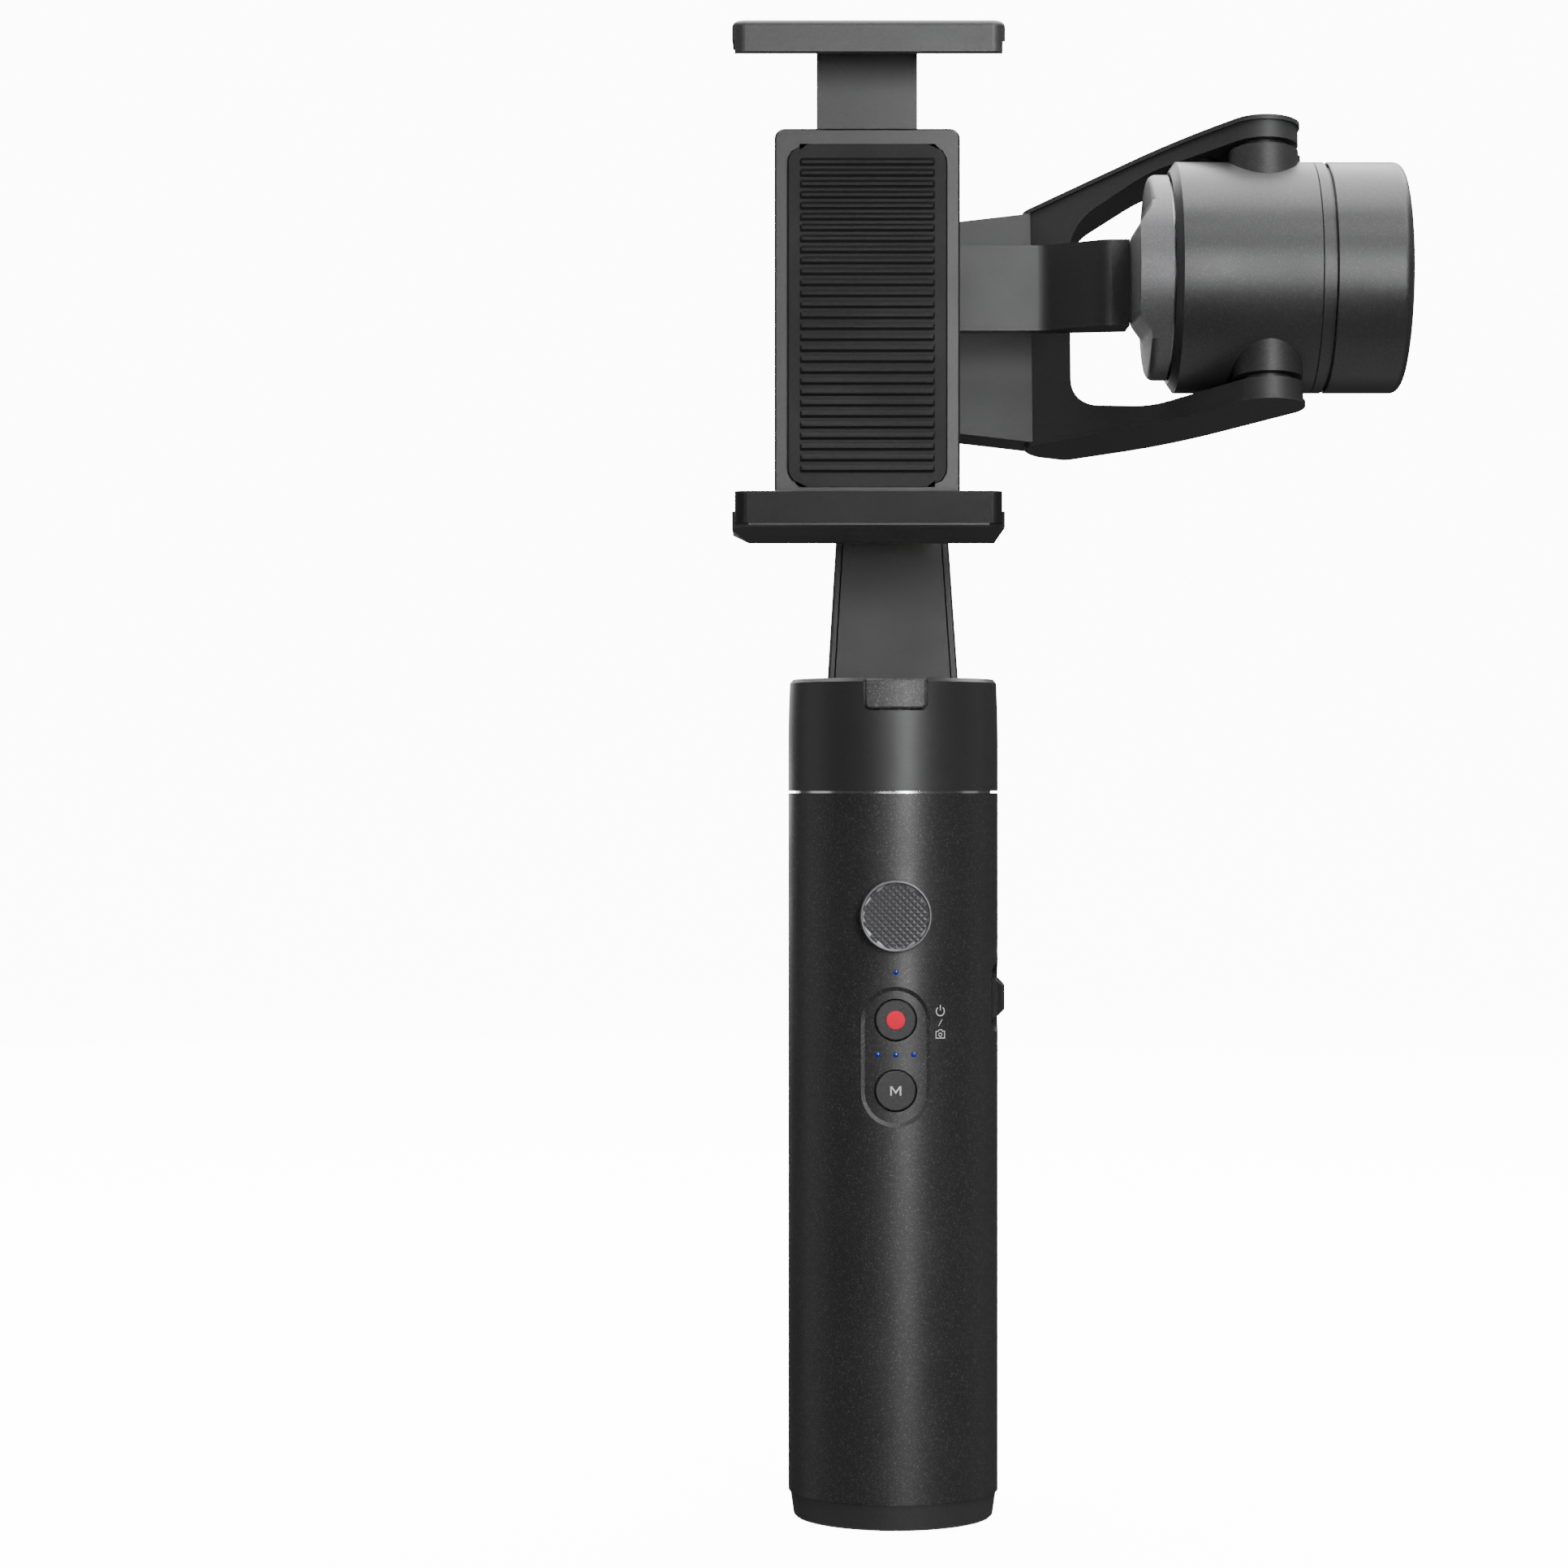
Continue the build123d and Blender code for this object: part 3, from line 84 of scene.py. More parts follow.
def spread(tree, value, low, high, out_low, out_high):
    """A value stretched from one range to another and held inside it."""
    node = tree.nodes.new("ShaderNodeMapRange")
    for socket, number in zip(("From Min", "From Max", "To Min", "To Max"), (low, high, out_low, out_high)):
        node.inputs[socket].default_value = number
    tree.links.new(value, node.inputs["Value"])
    return node.outputs["Result"]


def blend_colours(tree, factor, first, second):
    """Colour between two colours or colour sockets."""
    node = tree.nodes.new("ShaderNodeMix")
    node.data_type = "RGBA"
    tree.links.new(factor, node.inputs["Factor"])
    for socket, colour in (("A", first), ("B", second)):
        target = [s for s in node.inputs if s.name == socket and s.type == "RGBA"][0]
        if isinstance(colour, bpy.types.NodeSocket):
            tree.links.new(colour, target)
        else:
            target.default_value = (*colour, 1.0)
    return [s for s in node.outputs if s.type == "RGBA"][0]


def shade(colour, amount):
    """A colour made lighter or darker by a factor."""
    return tuple(c * amount for c in colour)


def bump(tree, shader, height, depth_mm):
    """Relief of a given depth from a height between 0 and 1."""
    node = tree.nodes.new("ShaderNodeBump")
    node.inputs["Strength"].default_value = 1.0
    node.inputs["Distance"].default_value = depth_mm * MM
    tree.links.new(height, node.inputs["Height"])
    tree.links.new(node.outputs["Normal"], shader.inputs["Normal"])


def coat(name, colour, roughness, metallic=0.0, grain=0.22, depth=0.004, contrast=0.18,
         sparkle=0.0, sparkle_size=0.16, specular=0.5, blotch=0.06, stretch=(1, 1, 1)):
    """Painted, anodised or moulded surface: grain, slow colour drift, uneven gloss and glitter."""
    material, tree, shader = new_material(name)
    coords = tree.nodes.new("ShaderNodeTexCoord").outputs["Object"]
    fine = noise(tree, coords, grain, detail=3.0, rough=0.6, stretch=stretch)
    slow = noise(tree, coords, 14.0, detail=2.0)
    grained = blend_colours(
        tree, spread(tree, fine, 0.35, 0.65, 0.0, 1.0),
        shade(colour, 1 - contrast), shade(colour, 1 + contrast))
    drifted = blend_colours(tree, spread(tree, slow, 0.3, 0.7, 0.0, blotch), grained, shade(colour, 1.6))
    if sparkle:
        cells = tree.nodes.new("ShaderNodeTexVoronoi")
        cells.inputs["Scale"].default_value = 1.0 / (sparkle_size * MM)
        tree.links.new(coords, cells.inputs["Vector"])
        parts = tree.nodes.new("ShaderNodeSeparateColor")
        tree.links.new(cells.outputs["Color"], parts.inputs["Color"])
        flecks = spread(tree, parts.outputs["Red"], 0.86, 1.0, 0.0, 1.0)
        drifted = blend_colours(tree, flecks, drifted, shade(colour, 1 + sparkle))
    tree.links.new(drifted, shader.inputs["Base Color"])
    rough = spread(tree, slow, 0.3, 0.7, roughness - 0.04, roughness + 0.04)
    tree.links.new(rough, shader.inputs["Roughness"])
    shader.inputs["Metallic"].default_value = metallic
    shader.inputs["Specular IOR Level"].default_value = specular
    bump(tree, shader, fine, depth)
    return material


def turned_steel(name, colour, roughness, stretch=(1, 1, 12)):
    """Ground or turned metal with fine tool lines."""
    return coat(name, colour, roughness, metallic=1.0, grain=0.5, depth=0.002, contrast=0.08,
                blotch=0.03, stretch=stretch)


GREY = (1.0, 1.0, 1.04)  # a faintly cool grey, scaled down for each dark finish
MATERIALS = {
    "handle_coat": coat("handle_coat", shade(GREY, 0.026), 0.40, metallic=0.3, grain=0.13,
                        depth=0.003, contrast=0.10, sparkle=2.6, sparkle_size=0.11, blotch=0.03),
    "foot_plastic": coat("foot_plastic", shade(GREY, 0.026), 0.5, grain=0.2, depth=0.005),
    "insert_brass": turned_steel("insert_brass", (0.78, 0.56, 0.25), 0.3),
    "collar_metal": turned_steel("collar_metal", (0.8, 0.8, 0.82), 0.22),
    "panel_plastic": coat("panel_plastic", shade(GREY, 0.028), 0.42, metallic=0.3, grain=0.13,
                          depth=0.003, contrast=0.10, sparkle=2.4, sparkle_size=0.11, blotch=0.03),
    "light_pipe": coat("light_pipe", (0.008, 0.016, 0.30), 0.14, grain=0.3, depth=0.001, contrast=0.25,
                       blotch=0.0),
    "inner_plastic": coat("inner_plastic", shade(GREY, 0.03), 0.5, grain=0.3, depth=0.003),
    "battery_wrap": coat("battery_wrap", (0.03, 0.12, 0.4), 0.3, grain=1.0, depth=0.002, contrast=0.05),
    "board_laminate": coat("board_laminate", (0.01, 0.09, 0.03), 0.4, grain=0.6, depth=0.004),
    "socket_steel": turned_steel("socket_steel", (0.72, 0.72, 0.74), 0.22),
    "bearing_steel": turned_steel("bearing_steel", (0.75, 0.75, 0.77), 0.18),
    "copper_winding": turned_steel("copper_winding", (0.75, 0.33, 0.14), 0.3, stretch=(1, 1, 8)),
    "rotor_iron": turned_steel("rotor_iron", (0.5, 0.5, 0.52), 0.35),
    "ground_steel": turned_steel("ground_steel", (0.62, 0.62, 0.64), 0.2),
    "spring_wire": turned_steel("spring_wire", (0.55, 0.55, 0.57), 0.25),
    "joystick_plastic": coat("joystick_plastic", shade(GREY, 0.14), 0.34, metallic=0.55, grain=0.18,
                             depth=0.0005, contrast=0.04, blotch=0.0),
    "record_red": coat("record_red", shade(GREY, 0.017), 0.46, metallic=0.3, grain=0.13, depth=0.003,
                       contrast=0.10, sparkle=1.6, sparkle_size=0.11, blotch=0.03),
    "zoom_plastic": coat("zoom_plastic", shade(GREY, 0.02), 0.26, grain=0.25, depth=0.002),
    "pan_coat": coat("pan_coat", shade(GREY, 0.030), 0.42, metallic=0.25, grain=0.16, depth=0.002,
                     contrast=0.1),
    "latch_coat": coat("latch_coat", shade(GREY, 0.060), 0.46, grain=0.26, depth=0.014, contrast=0.34,
                       sparkle=1.6, sparkle_size=0.18),
    "arm_coat": coat("arm_coat", shade(GREY, 0.021), 0.48, grain=0.14, depth=0.003, contrast=0.1),
    "arm_cover_plastic": coat("arm_cover_plastic", shade(GREY, 0.019), 0.5, grain=0.14, depth=0.002,
                              contrast=0.08),
    "cable_polymer": coat("cable_polymer", (0.45, 0.2, 0.04), 0.3, grain=0.8, depth=0.001),
    "washer_polymer": coat("washer_polymer", shade(GREY, 0.02), 0.4, grain=0.3, depth=0.002),
    "motor_coat": coat("motor_coat", shade(GREY, 0.03), 0.41, metallic=0.3, grain=0.14, depth=0.004,
                       contrast=0.14, sparkle=0.8, sparkle_size=0.12),
    "rotor_cover_metal": coat("rotor_cover_metal", shade(GREY, 0.085), 0.46, metallic=0.4, grain=0.16,
                              depth=0.005, contrast=0.16, sparkle=0.5, sparkle_size=0.12),
    "clamp_plastic": coat("clamp_plastic", shade(GREY, 0.017), 0.38, grain=0.16, depth=0.003),
    "upper_jaw_plastic": coat("upper_jaw_plastic", shade(GREY, 0.03), 0.42, grain=0.16, depth=0.003),
    "grip_rubber": coat("grip_rubber", shade(GREY, 0.009), 0.5, grain=0.12, depth=0.004, specular=0.2),
}
PAINT = coat("marking_paint", (0.62, 0.62, 0.62), 0.55, grain=0.12, depth=0.001, contrast=0.1)
RED = coat("record_paint", (0.86, 0.0, 0.04), 0.55, grain=0.14, depth=0.002, contrast=0.06, specular=0.15,
           blotch=0.0)

slots = {part["node"]: part["material_slot"] for part in frame["record"]["subparts"]}
for node, thing in frame["nodes"].items():
    thing.data.materials.clear()
    finish = MATERIALS["record_red" if node == "mode_button" else slots[node]]  # both keys look alike
    thing.data.materials.append(finish)


# ---------------------------------------------------------------- mesh building
def piece(name, verts, faces, body, material, smooth=True):
    """A mesh in place in the row's frame, riding on a body, with its finish."""
    mesh = bpy.data.meshes.new(name)
    mesh.from_pydata([tuple(v) for v in verts], [], faces)
    mesh.update()
    obj = bpy.data.objects.new(name, mesh)
    bpy.context.scene.collection.objects.link(obj)
    work = bmesh.new()
    work.from_mesh(mesh)
    bmesh.ops.remove_doubles(work, verts=work.verts, dist=1e-7)
    bmesh.ops.recalc_face_normals(work, faces=work.faces)
    work.to_mesh(mesh)
    work.free()
    for polygon in mesh.polygons:
        polygon.use_smooth = smooth
    mesh.materials.append(material)
    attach(obj, body)
    return obj


def lathe(profile, centre, axis, across, steps=72):
    """Vertices and faces of a profile of (radius, height) turned about an axis."""
    axis, across = Vector(axis), Vector(across)
    other = axis.cross(across)
    verts, faces = [], []
    for radius, height in profile:
        for k in range(steps):
            angle = math.tau * k / steps
            spoke = across * math.cos(angle) + other * math.sin(angle)
            verts.append(Vector(centre) + axis * height + spoke * radius)
    for row in range(len(profile) - 1):
        for k in range(steps):
            a, b = row * steps + k, row * steps + (k + 1) % steps
            faces.append((a, b, b + steps, a + steps))
    return verts, faces


# ---------------------------------------------------------------- knurled joystick cap
JOY_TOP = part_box("joystick_cap")
JOY_C = (JOY_TOP[0] + JOY_TOP[1]) / 2
JOY_FRONT = JOY_TOP[0].y
JOY_R = (JOY_TOP[1].x - JOY_TOP[0].x) / 2


def joystick_cap():
    """Round cap: waisted stem, smooth raised rim and a dished disc of little pyramids.

    The stem's points are a radius and a depth behind the front, and the rim's are how far in from
    the cap's edge and how deep, all in millimetres.
    """
    rim_in, pitch = JOY_R - 0.5 * MM, 0.78 * MM
    rise, dish = 0.27 * MM, 0.24 * MM
    floor = 0.42 * MM
    centre = Vector((JOY_C.x, JOY_FRONT, JOY_C.z))
    front, across = Vector((0, 1, 0)), Vector((1, 0, 0))
    stem = [(1.4, 6.0), (1.5, 3.4), (1.9, 2.2), (2.9, 1.4), (4.6, 0.95), (5.5, 0.8)]
    profile = [(r * MM, depth * MM) for r, depth in stem]
    rim = [(0.0, 0.6), (0.0, 0.3), (0.03, 0.16), (0.1, 0.06),
           (0.2, 0.0), (0.38, 0.05), (0.46, 0.12), (0.5, 0.2)]
    profile += [(JOY_R - inward * MM, depth * MM) for inward, depth in rim]
    profile.append((rim_in, floor))
    verts, faces = lathe(profile, centre, front, across, 96)

    def surface(u, v, lift):
        """Point of the dish at a place across it, lifted towards the thumb."""
        r = math.hypot(u, v)
        if r > rim_in:
            u, v, lift = u * rim_in / r, v * rim_in / r, 0
            r = rim_in
        depth = floor + dish * (1 - (r / rim_in) ** 2) - lift
        return centre + Vector((u, depth, v))

    turn = Matrix.Rotation(math.radians(45), 2)
    count = int(rim_in / pitch) + 2
    for i in range(-count, count):
        for j in range(-count, count):
            corners = [turn @ Vector(((i + a) * pitch, (j + b) * pitch))
                       for a, b in ((0, 0), (1, 0), (1, 1), (0, 1))]
            middle = turn @ Vector(((i + 0.5) * pitch, (j + 0.5) * pitch))
            if min(c.length for c in corners) >= rim_in:
                continue
            start = len(verts)
            verts += [surface(c.x, c.y, 0) for c in corners]
            verts.append(surface(middle.x, middle.y, rise))
            faces += [(start + k, start + (k + 1) % 4, start + 4) for k in range(4)]
    cap = piece("joystick_cap_knurled", verts, faces, "joystick",
                MATERIALS["joystick_plastic"], smooth=False)
    for polygon in cap.data.polygons:
        polygon.use_smooth = len(polygon.vertices) == 4
    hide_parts("joystick_cap")


joystick_cap()


# ---------------------------------------------------------------- ribbed rubber pads
def swept(name, rows, node, body):
    """Closed piece through rows of points that all have the same count, standing for a CAD node."""
    count = len(rows[0])
    verts = [p for row in rows for p in row]
    faces = [tuple(range(count)), tuple(range(len(verts) - count, len(verts)))]
    for r in range(len(rows) - 1):
        for k in range(count):
            a, b = r * count + k, r * count + (k + 1) % count
            faces.append((a, b, b + count, a + count))
    pad = piece(name, verts, faces, body, MATERIALS[slots[node]], smooth=False)
    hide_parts(node)
    return pad


def ribs(low, high, pitch, margin, samples=8):
    """Places along a pad from end to end, each with how far its rib stands up, from 0 to 1."""
    count = round((high - low - 2 * margin) / pitch)
    pitch = (high - low - 2 * margin) / count
    places = [(low, 0.0), (low + margin * 0.5, 0.0)]
    for k in range(count * samples + 1):
        phase = k / samples % 1.0
        lift = min(1.0, max(0.0, (math.cos(math.tau * (phase - 0.5)) + 0.45) / 0.9))
        places.append((low + margin + k * pitch / samples, lift))
    return places + [(high - margin * 0.5, 0.0), (high, 0.0)]


RIB_PITCH, RIB_RISE, PAD_EDGE = 1.7 * MM, 0.32 * MM, 0.25 * MM


def back_rest():
    """Rubber plate with eased corners and ribs across it, behind the phone."""
    low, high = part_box("back_pad")
    middle, half, corner = (low.x + high.x) / 2, (high.x - low.x) / 2, 3.0 * MM
    rows = []
    for z, lift in ribs(low.z, high.z, RIB_PITCH, 2.0 * MM):
        end = min(z - low.z, high.z - z)
        inset = corner - math.sqrt(max(0.0, corner ** 2 - max(0.0, corner - end) ** 2))
        w = half - inset
        skin, crest = low.y + RIB_RISE, low.y + RIB_RISE * (1 - lift)
        across = [(-w, high.y), (-w, skin + PAD_EDGE), (-w + PAD_EDGE, skin), (-half + 2.0 * MM, skin),
                  (-half + 2.3 * MM, crest), (half - 2.3 * MM, crest), (half - 2.0 * MM, skin),
                  (w - PAD_EDGE, skin), (w, skin + PAD_EDGE), (w, high.y)]
        rows.append([Vector((middle + x, y, z)) for x, y in across])
    swept("back_pad_ribbed", rows, "back_pad", "clamp")


def upper_grip():
    """Rubber strip under the upper jaw, ribbed across the phone's edge."""
    low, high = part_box("upper_jaw_pad")
    rows = []
    for x, lift in ribs(low.x, high.x, RIB_PITCH, 1.2 * MM):
        skin, crest = low.z + RIB_RISE, low.z + RIB_RISE * (1 - lift)
        ease = 0.5 * MM
        rows.append([Vector((x, y, z)) for y, z in (
            (low.y, high.z), (low.y, skin + PAD_EDGE), (low.y + PAD_EDGE, skin), (low.y + ease * 2, skin),
            (low.y + ease * 3, crest), (high.y - ease * 3, crest), (high.y - ease * 2, skin),
            (high.y - PAD_EDGE, skin), (high.y, skin + PAD_EDGE), (high.y, high.z))])
    swept("upper_jaw_pad_ribbed", rows, "upper_jaw_pad", "upper_jaw")


def lower_grip():
    """Rubber lip and shelf of the lower jaw: smooth outside, ribbed where the phone's edge rests."""
    low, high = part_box("lower_jaw_pad")
    lip_t, shelf_top, shelf_low, lip_low = 2.2 * MM, high.z - 2.3 * MM, high.z - 3.1 * MM, low.z
    corner, edge = 1.9 * MM, 0.3 * MM
    back = low.y + lip_t
    places = [low.x + corner * (1 - math.cos(math.radians(t))) for t in (0, 15, 30, 45, 60, 75, 90)]
    ends = places + [low.x + high.x - x for x in reversed(places)]
    spots = [(x, 0.0) for x in ends]
    spots += [(x, lift) for x, lift in ribs(low.x, high.x, RIB_PITCH, 2.4 * MM) if ends[6] < x < ends[7]]
    rows = []
    for x, lift in sorted(spots):
        end = min(x - low.x, high.x - x)
        front = low.y + corner - math.sqrt(max(0.0, corner ** 2 - max(0.0, corner - end) ** 2))
        front = min(front, back - 0.25 * MM)
        skin, crest = shelf_top - RIB_RISE, shelf_top - RIB_RISE * (1 - lift)
        rows.append([Vector((x, y, z)) for y, z in (
            (front, lip_low), (front, high.z - edge), (min(front + edge * 0.3, back), high.z - edge * 0.3),
            (min(front + edge, back - 0.05 * MM), high.z), (back - 0.04 * MM, high.z),
            (back, high.z - edge * 0.5),
            (back, skin + 0.2 * MM), (back + 0.2 * MM, skin), (back + 0.7 * MM, skin),
            (back + 1.1 * MM, crest),
            (high.y - 1.0 * MM, crest), (high.y - 0.6 * MM, skin), (high.y, skin - PAD_EDGE),
            (high.y, shelf_low), (back, shelf_low), (back, lip_low))])
    swept("lower_jaw_pad_ribbed", rows, "lower_jaw_pad", "clamp")


back_rest()
upper_grip()
lower_grip()


# ---------------------------------------------------------------- status lights
def light_pipes():
    """Small domed lenses, one in each light's hole."""
    lens_r, dome, depth = 0.425 * MM, 0.14 * MM, 2.4 * MM
    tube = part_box("handle_tube")
    tube_r = (tube[1].x - tube[0].x) / 2
    panel_r = -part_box("control_panel")[0].y
    low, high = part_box("led_light_pipes")
    row_z = low.z + lens_r
    verts, faces = [], []
    places = [(x, row_z, panel_r) for x in (low.x + lens_r, 0.0, high.x - lens_r)]
    places.append((0.0, high.z - lens_r, tube_r))
    angles = [math.radians(t) for t in range(0, 91, 15)]
    profile = [(lens_r, depth)] + [(lens_r * math.cos(a), dome * (1 - math.sin(a))) for a in angles]
    for x, z, skin in places:
        front = -math.sqrt(skin ** 2 - x ** 2) - dome * 0.6
        more, sides = lathe(profile, (x, front, z), (0, 1, 0), (1, 0, 0), 24)
        base = len(verts)
        verts += more
        faces += [tuple(i + base for i in f) for f in sides]
    lights = piece("status_lights", verts, faces, "handle", MATERIALS["light_pipe"])
    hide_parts("led_light_pipes")


light_pipes()


# ---------------------------------------------------------------- printed markings
def strokes_on(name, lines, place, body, material, thick_mm=0.03):
    """Flat strokes laid on a surface. A line is (points, width, closed), in millimetres."""
    verts, faces = [], []
    for points, width, closed in lines:
        path = [Vector(p) for p in points]
        count = len(path)
        start = len(verts)
        for k, p in enumerate(path):
            before = path[(k - 1) % count] if closed or k else p
            after = path[(k + 1) % count] if closed or k < count - 1 else p
            into, onward = p - before, after - p
            along_in = (into if into.length else onward).normalized()
            along_out = onward.normalized() if onward.length else along_in
            normal_in = Vector((-along_in.y, along_in.x))
            normal_out = Vector((-along_out.y, along_out.x))
            mitre = (normal_in + normal_out).normalized()
            reach = width / 2 / max(0.4, mitre.dot(normal_out))
            for side in (-1, 1):
                q = p + mitre * reach * side
                verts += [place(q.x, q.y, 0.0), place(q.x, q.y, thick_mm)]
        rings = count if closed else count - 1
        for k in range(rings):
            a, b = start + 4 * k, start + 4 * ((k + 1) % count)
            faces += [(a + 1, b + 1, b + 3, a + 3), (a, a + 2, b + 2, b), (a, b, b + 1, a + 1),
                      (a + 2, a + 3, b + 3, b + 2)]
        if not closed:
            end = start + 4 * (count - 1)
            faces += [(start, start + 1, start + 3, start + 2), (end, end + 2, end + 3, end + 1)]
    return piece(name, verts, faces, body, material, smooth=False)


def arc_points(radius, low, high, steps=24, centre=(0, 0)):
    """Points of an arc, with angles in degrees counted from the right."""
    angles = [math.radians(low + (high - low) * k / steps) for k in range(steps + 1)]
    return [(centre[0] + radius * math.cos(a), centre[1] + radius * math.sin(a)) for a in angles]


def straight(first, last, steps=4):
    """Points along a straight stroke."""
    return [(first[0] + (last[0] - first[0]) * k / steps, first[1] + (last[1] - first[1]) * k / steps)
            for k in range(steps + 1)]


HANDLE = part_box("handle_tube")
HANDLE_R = (HANDLE[1].x - HANDLE[0].x) / 2


def on_handle(angle_deg, z):
    """Maps millimetres across and up, at an angle round from the front, to the handle's skin."""
    def place(u, v, lift):
        angle = math.radians(angle_deg) + u * MM / HANDLE_R
        r = HANDLE_R + lift * MM
        return Vector((r * math.sin(angle), -r * math.cos(angle), z + v * MM))
    return place


def on_face(y, x, z):
    """Maps millimetres across and up to a flat face that looks at the user."""
    def place(u, v, lift):
        return Vector((x + u * MM, y - lift * MM, z + v * MM))
    return place


# Signs beside the panel: their place round the handle, and each one's height above the foot.
ICON_ANGLE = 24.7
POWER_Z, SLASH_Z, CAMERA_Z = 82.45 * MM, 80.6 * MM, 78.8 * MM
POWER_R, POWER_STROKE = 0.72, 0.16
SLASH_STROKE = 0.10
CAMERA_STROKE, LENS_STROKE, LENS_R = 0.13, 0.12, 0.27
CAMERA_OUTLINE = [(-0.75, -0.62), (0.0, -0.62), (0.75, -0.62), (0.75, 0.45), (0.38, 0.45), (0.24, 0.7),
                  (-0.24, 0.7), (-0.38, 0.45), (-0.75, 0.45)]
strokes_on("icon_power",
           [(arc_points(POWER_R, 128, 412), POWER_STROKE, False),
            (straight((0, 0.1), (0, 1.0)), POWER_STROKE, False)],
           on_handle(ICON_ANGLE, POWER_Z), "handle", PAINT)
strokes_on("icon_slash", [(straight((-0.33, -0.55), (0.33, 0.55)), SLASH_STROKE, False)],
           on_handle(ICON_ANGLE, SLASH_Z), "handle", PAINT)
strokes_on("icon_camera",
           [(CAMERA_OUTLINE, CAMERA_STROKE, True),
            (arc_points(LENS_R, 0, 345, 20, (0, -0.08)), LENS_STROKE, True)],
           on_handle(ICON_ANGLE, CAMERA_Z), "handle", PAINT)

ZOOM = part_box("zoom_knob")
ZOOM_Z = (ZOOM[0].z + ZOOM[1].z) / 2
ZOOM_ANGLE = math.degrees(math.atan2((ZOOM[0].x + ZOOM[1].x) / 2, -(ZOOM[0].y + ZOOM[1].y) / 2))
SIGN_REACH, SIGN_HALF, SIGN_STROKE = 7.5 * MM, 0.55, 0.2
strokes_on("icon_plus", [(straight((-SIGN_HALF, 0), (SIGN_HALF, 0)), SIGN_STROKE, False),
                         (straight((0, -SIGN_HALF), (0, SIGN_HALF)), SIGN_STROKE, False)],
           on_handle(ZOOM_ANGLE, ZOOM_Z + SIGN_REACH), "handle", PAINT)
strokes_on("icon_minus", [(straight((-SIGN_HALF, 0), (SIGN_HALF, 0)), SIGN_STROKE, False)],
           on_handle(ZOOM_ANGLE, ZOOM_Z - SIGN_REACH), "handle", PAINT)

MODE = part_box("mode_button")
MODE_C = (MODE[0] + MODE[1]) / 2
LETTER_W, LETTER_H, LETTER_STROKE = 0.75, 0.74, 0.24
MODE_STEMS = [([(side * LETTER_W, -LETTER_H), (side * LETTER_W, LETTER_H)], LETTER_STROKE, False)
              for side in (-1, 1)]
MODE_VALLEY = [(-LETTER_W + 0.04, LETTER_H - 0.05), (0, -0.30), (LETTER_W - 0.04, LETTER_H - 0.05)]
strokes_on("mode_letter", MODE_STEMS + [(MODE_VALLEY, LETTER_STROKE, False)],
           on_face(MODE[0].y, MODE_C.x, MODE_C.z), "mode_key", PAINT, 0.02)

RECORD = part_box("record_button")
RECORD_C = (RECORD[0] + RECORD[1]) / 2
DOT_R = 1.475 * MM
DOT_PROFILE = [(DOT_R, 0.0), (DOT_R, -0.018 * MM), (DOT_R - 0.055 * MM, -0.028 * MM), (0.0, -0.03 * MM)]
dot_verts, dot_faces = lathe(DOT_PROFILE, (RECORD_C.x, RECORD[0].y, RECORD_C.z), (0, 1, 0), (1, 0, 0), 48)
piece("record_dot", dot_verts, dot_faces, "record_key", RED)


# ---------------------------------------------------------------- floor, light and camera
def softbox(name, at, target, width, height, power):
    """Rectangular area light that looks at a point."""
    data = bpy.data.lights.new(name, "AREA")
    data.shape = "RECTANGLE"
    data.size, data.size_y = width, height
    data.energy = power
    lamp = bpy.data.objects.new(name, data)
    lamp.location = at
    lamp.rotation_mode = "QUATERNION"
    lamp.rotation_quaternion = (Vector(target) - Vector(at)).to_track_quat("-Z", "Y")
    bpy.context.scene.collection.objects.link(lamp)
    return lamp


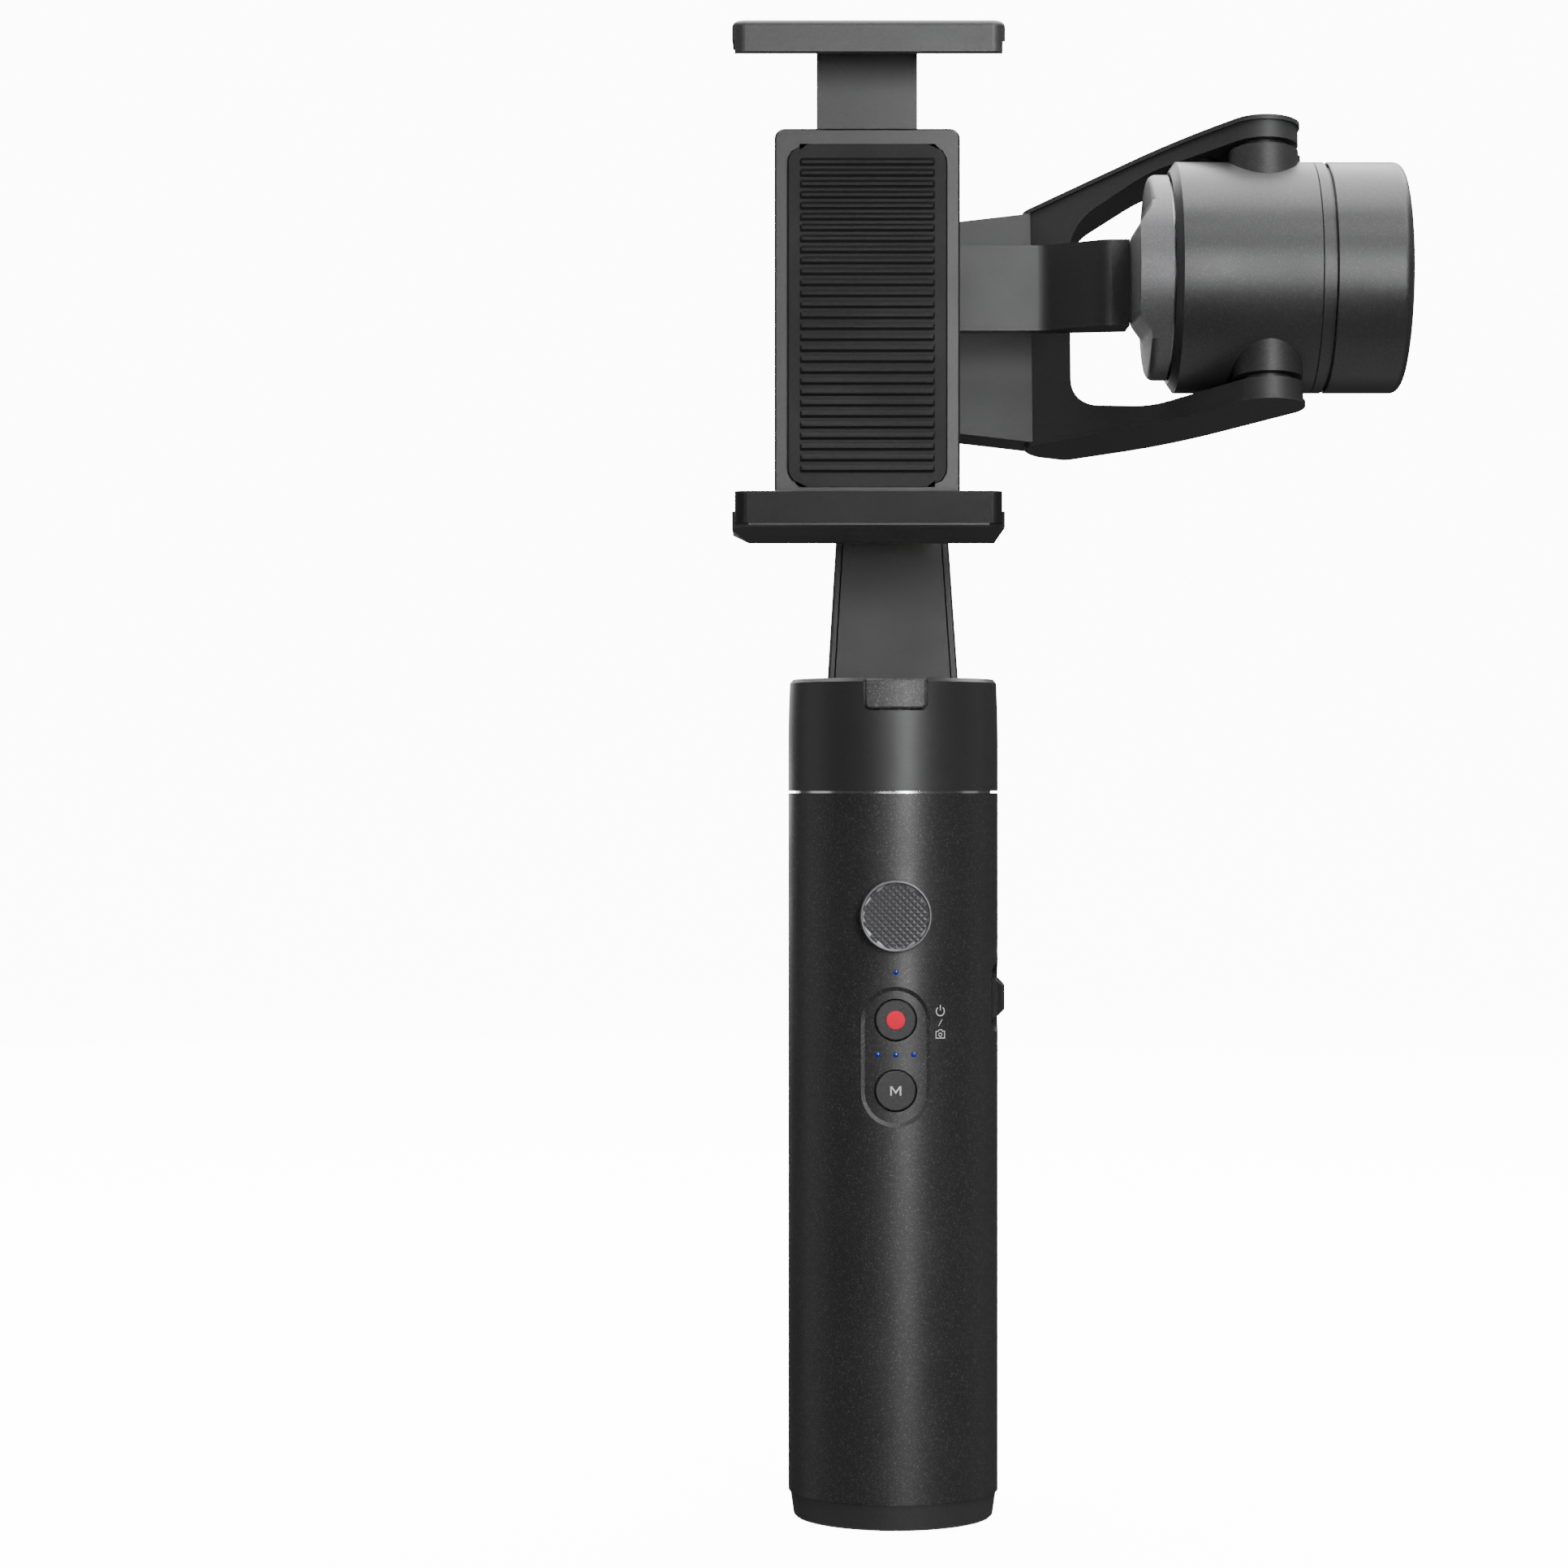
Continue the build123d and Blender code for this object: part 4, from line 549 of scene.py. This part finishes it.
def studio():
    """Pale floor that curves up all round into a bowl, soft boxes and a dim room."""
    flat_r, bend, wall_top, glow = 1.7, 0.9, 3.6, 12.0
    profile = [(0.05, 0.0), (flat_r, 0.0)]
    profile += [(flat_r + bend * math.sin(a), bend * (1 - math.cos(a)))
                for a in (math.radians(90 * k / 16) for k in range(1, 17))]
    profile.append((flat_r + bend, wall_top))
    verts, faces = lathe(profile, (0, 0, 0), (0, 0, 1), (1, 0, 0), 96)
    faces.append(tuple(range(96)))
    mesh = bpy.data.meshes.new("studio_floor")
    mesh.from_pydata([tuple(v) for v in verts], [], faces)
    for polygon in mesh.polygons:
        polygon.use_smooth = len(polygon.vertices) == 4
    floor = bpy.data.objects.new("studio_floor", mesh)
    bpy.context.scene.collection.objects.link(floor)
    material, tree, shader = new_material("floor_paper")
    shader.inputs["Base Color"].default_value = (0.9, 0.9, 0.9, 1)
    shader.inputs["Roughness"].default_value = 0.9
    shader.inputs["Specular IOR Level"].default_value = 0.1
    shader.inputs["Emission Color"].default_value = (1, 1, 1, 1)
    shader.inputs["Emission Strength"].default_value = glow
    mesh.materials.append(material)
    floor.visible_glossy = False
    floor.visible_diffuse = False
    floor.visible_shadow = False

    world = bpy.data.worlds.new("studio_room")
    world.use_nodes = True
    world.node_tree.nodes["Background"].inputs["Color"].default_value = (1, 1, 1, 1)
    world.node_tree.nodes["Background"].inputs["Strength"].default_value = 0.07
    bpy.context.scene.world = world

    middle = (0.0, 0.0, 0.12)
    softbox("key_strip", (0.19, -0.80, 0.24), middle, 0.12, 0.44, 5.0)
    softbox("front_soft", (-0.16, -0.95, 0.28), (0.0, 0.0, 0.15), 0.20, 0.30, 0.6)
    softbox("front_high", (0.34, -0.62, 0.78), middle, 0.5, 0.25, 3.4)
    softbox("overhead", (0.05, 0.20, 0.85), (0.02, 0.0, 0.15), 1.1, 1.2, 36.0)
    softbox("side_left", (-1.1, 0.15, 0.2), middle, 0.7, 0.9, 1.1)
    softbox("side_right", (1.1, 0.25, 0.1), middle, 0.6, 0.7, 0.3)
    softbox("floor_bounce", (0.0, 0.05, -0.30), middle, 0.9, 0.6, 0.9)
    softbox("rear_soft", (-0.35, 1.1, 0.45), middle, 0.6, 0.8, 3.5)


def camera():
    """Level camera in front of the handle, a little to its left."""
    data = bpy.data.cameras.new("camera")
    data.lens, data.sensor_width = LENS_MM, SENSOR_MM
    data.clip_start, data.clip_end = 0.05, 20.0
    eye = bpy.data.objects.new("camera", data)
    eye.location = CAMERA_AT
    eye.rotation_euler = (math.radians(90), 0, 0)
    bpy.context.scene.collection.objects.link(eye)
    bpy.context.scene.camera = eye


studio()
camera()
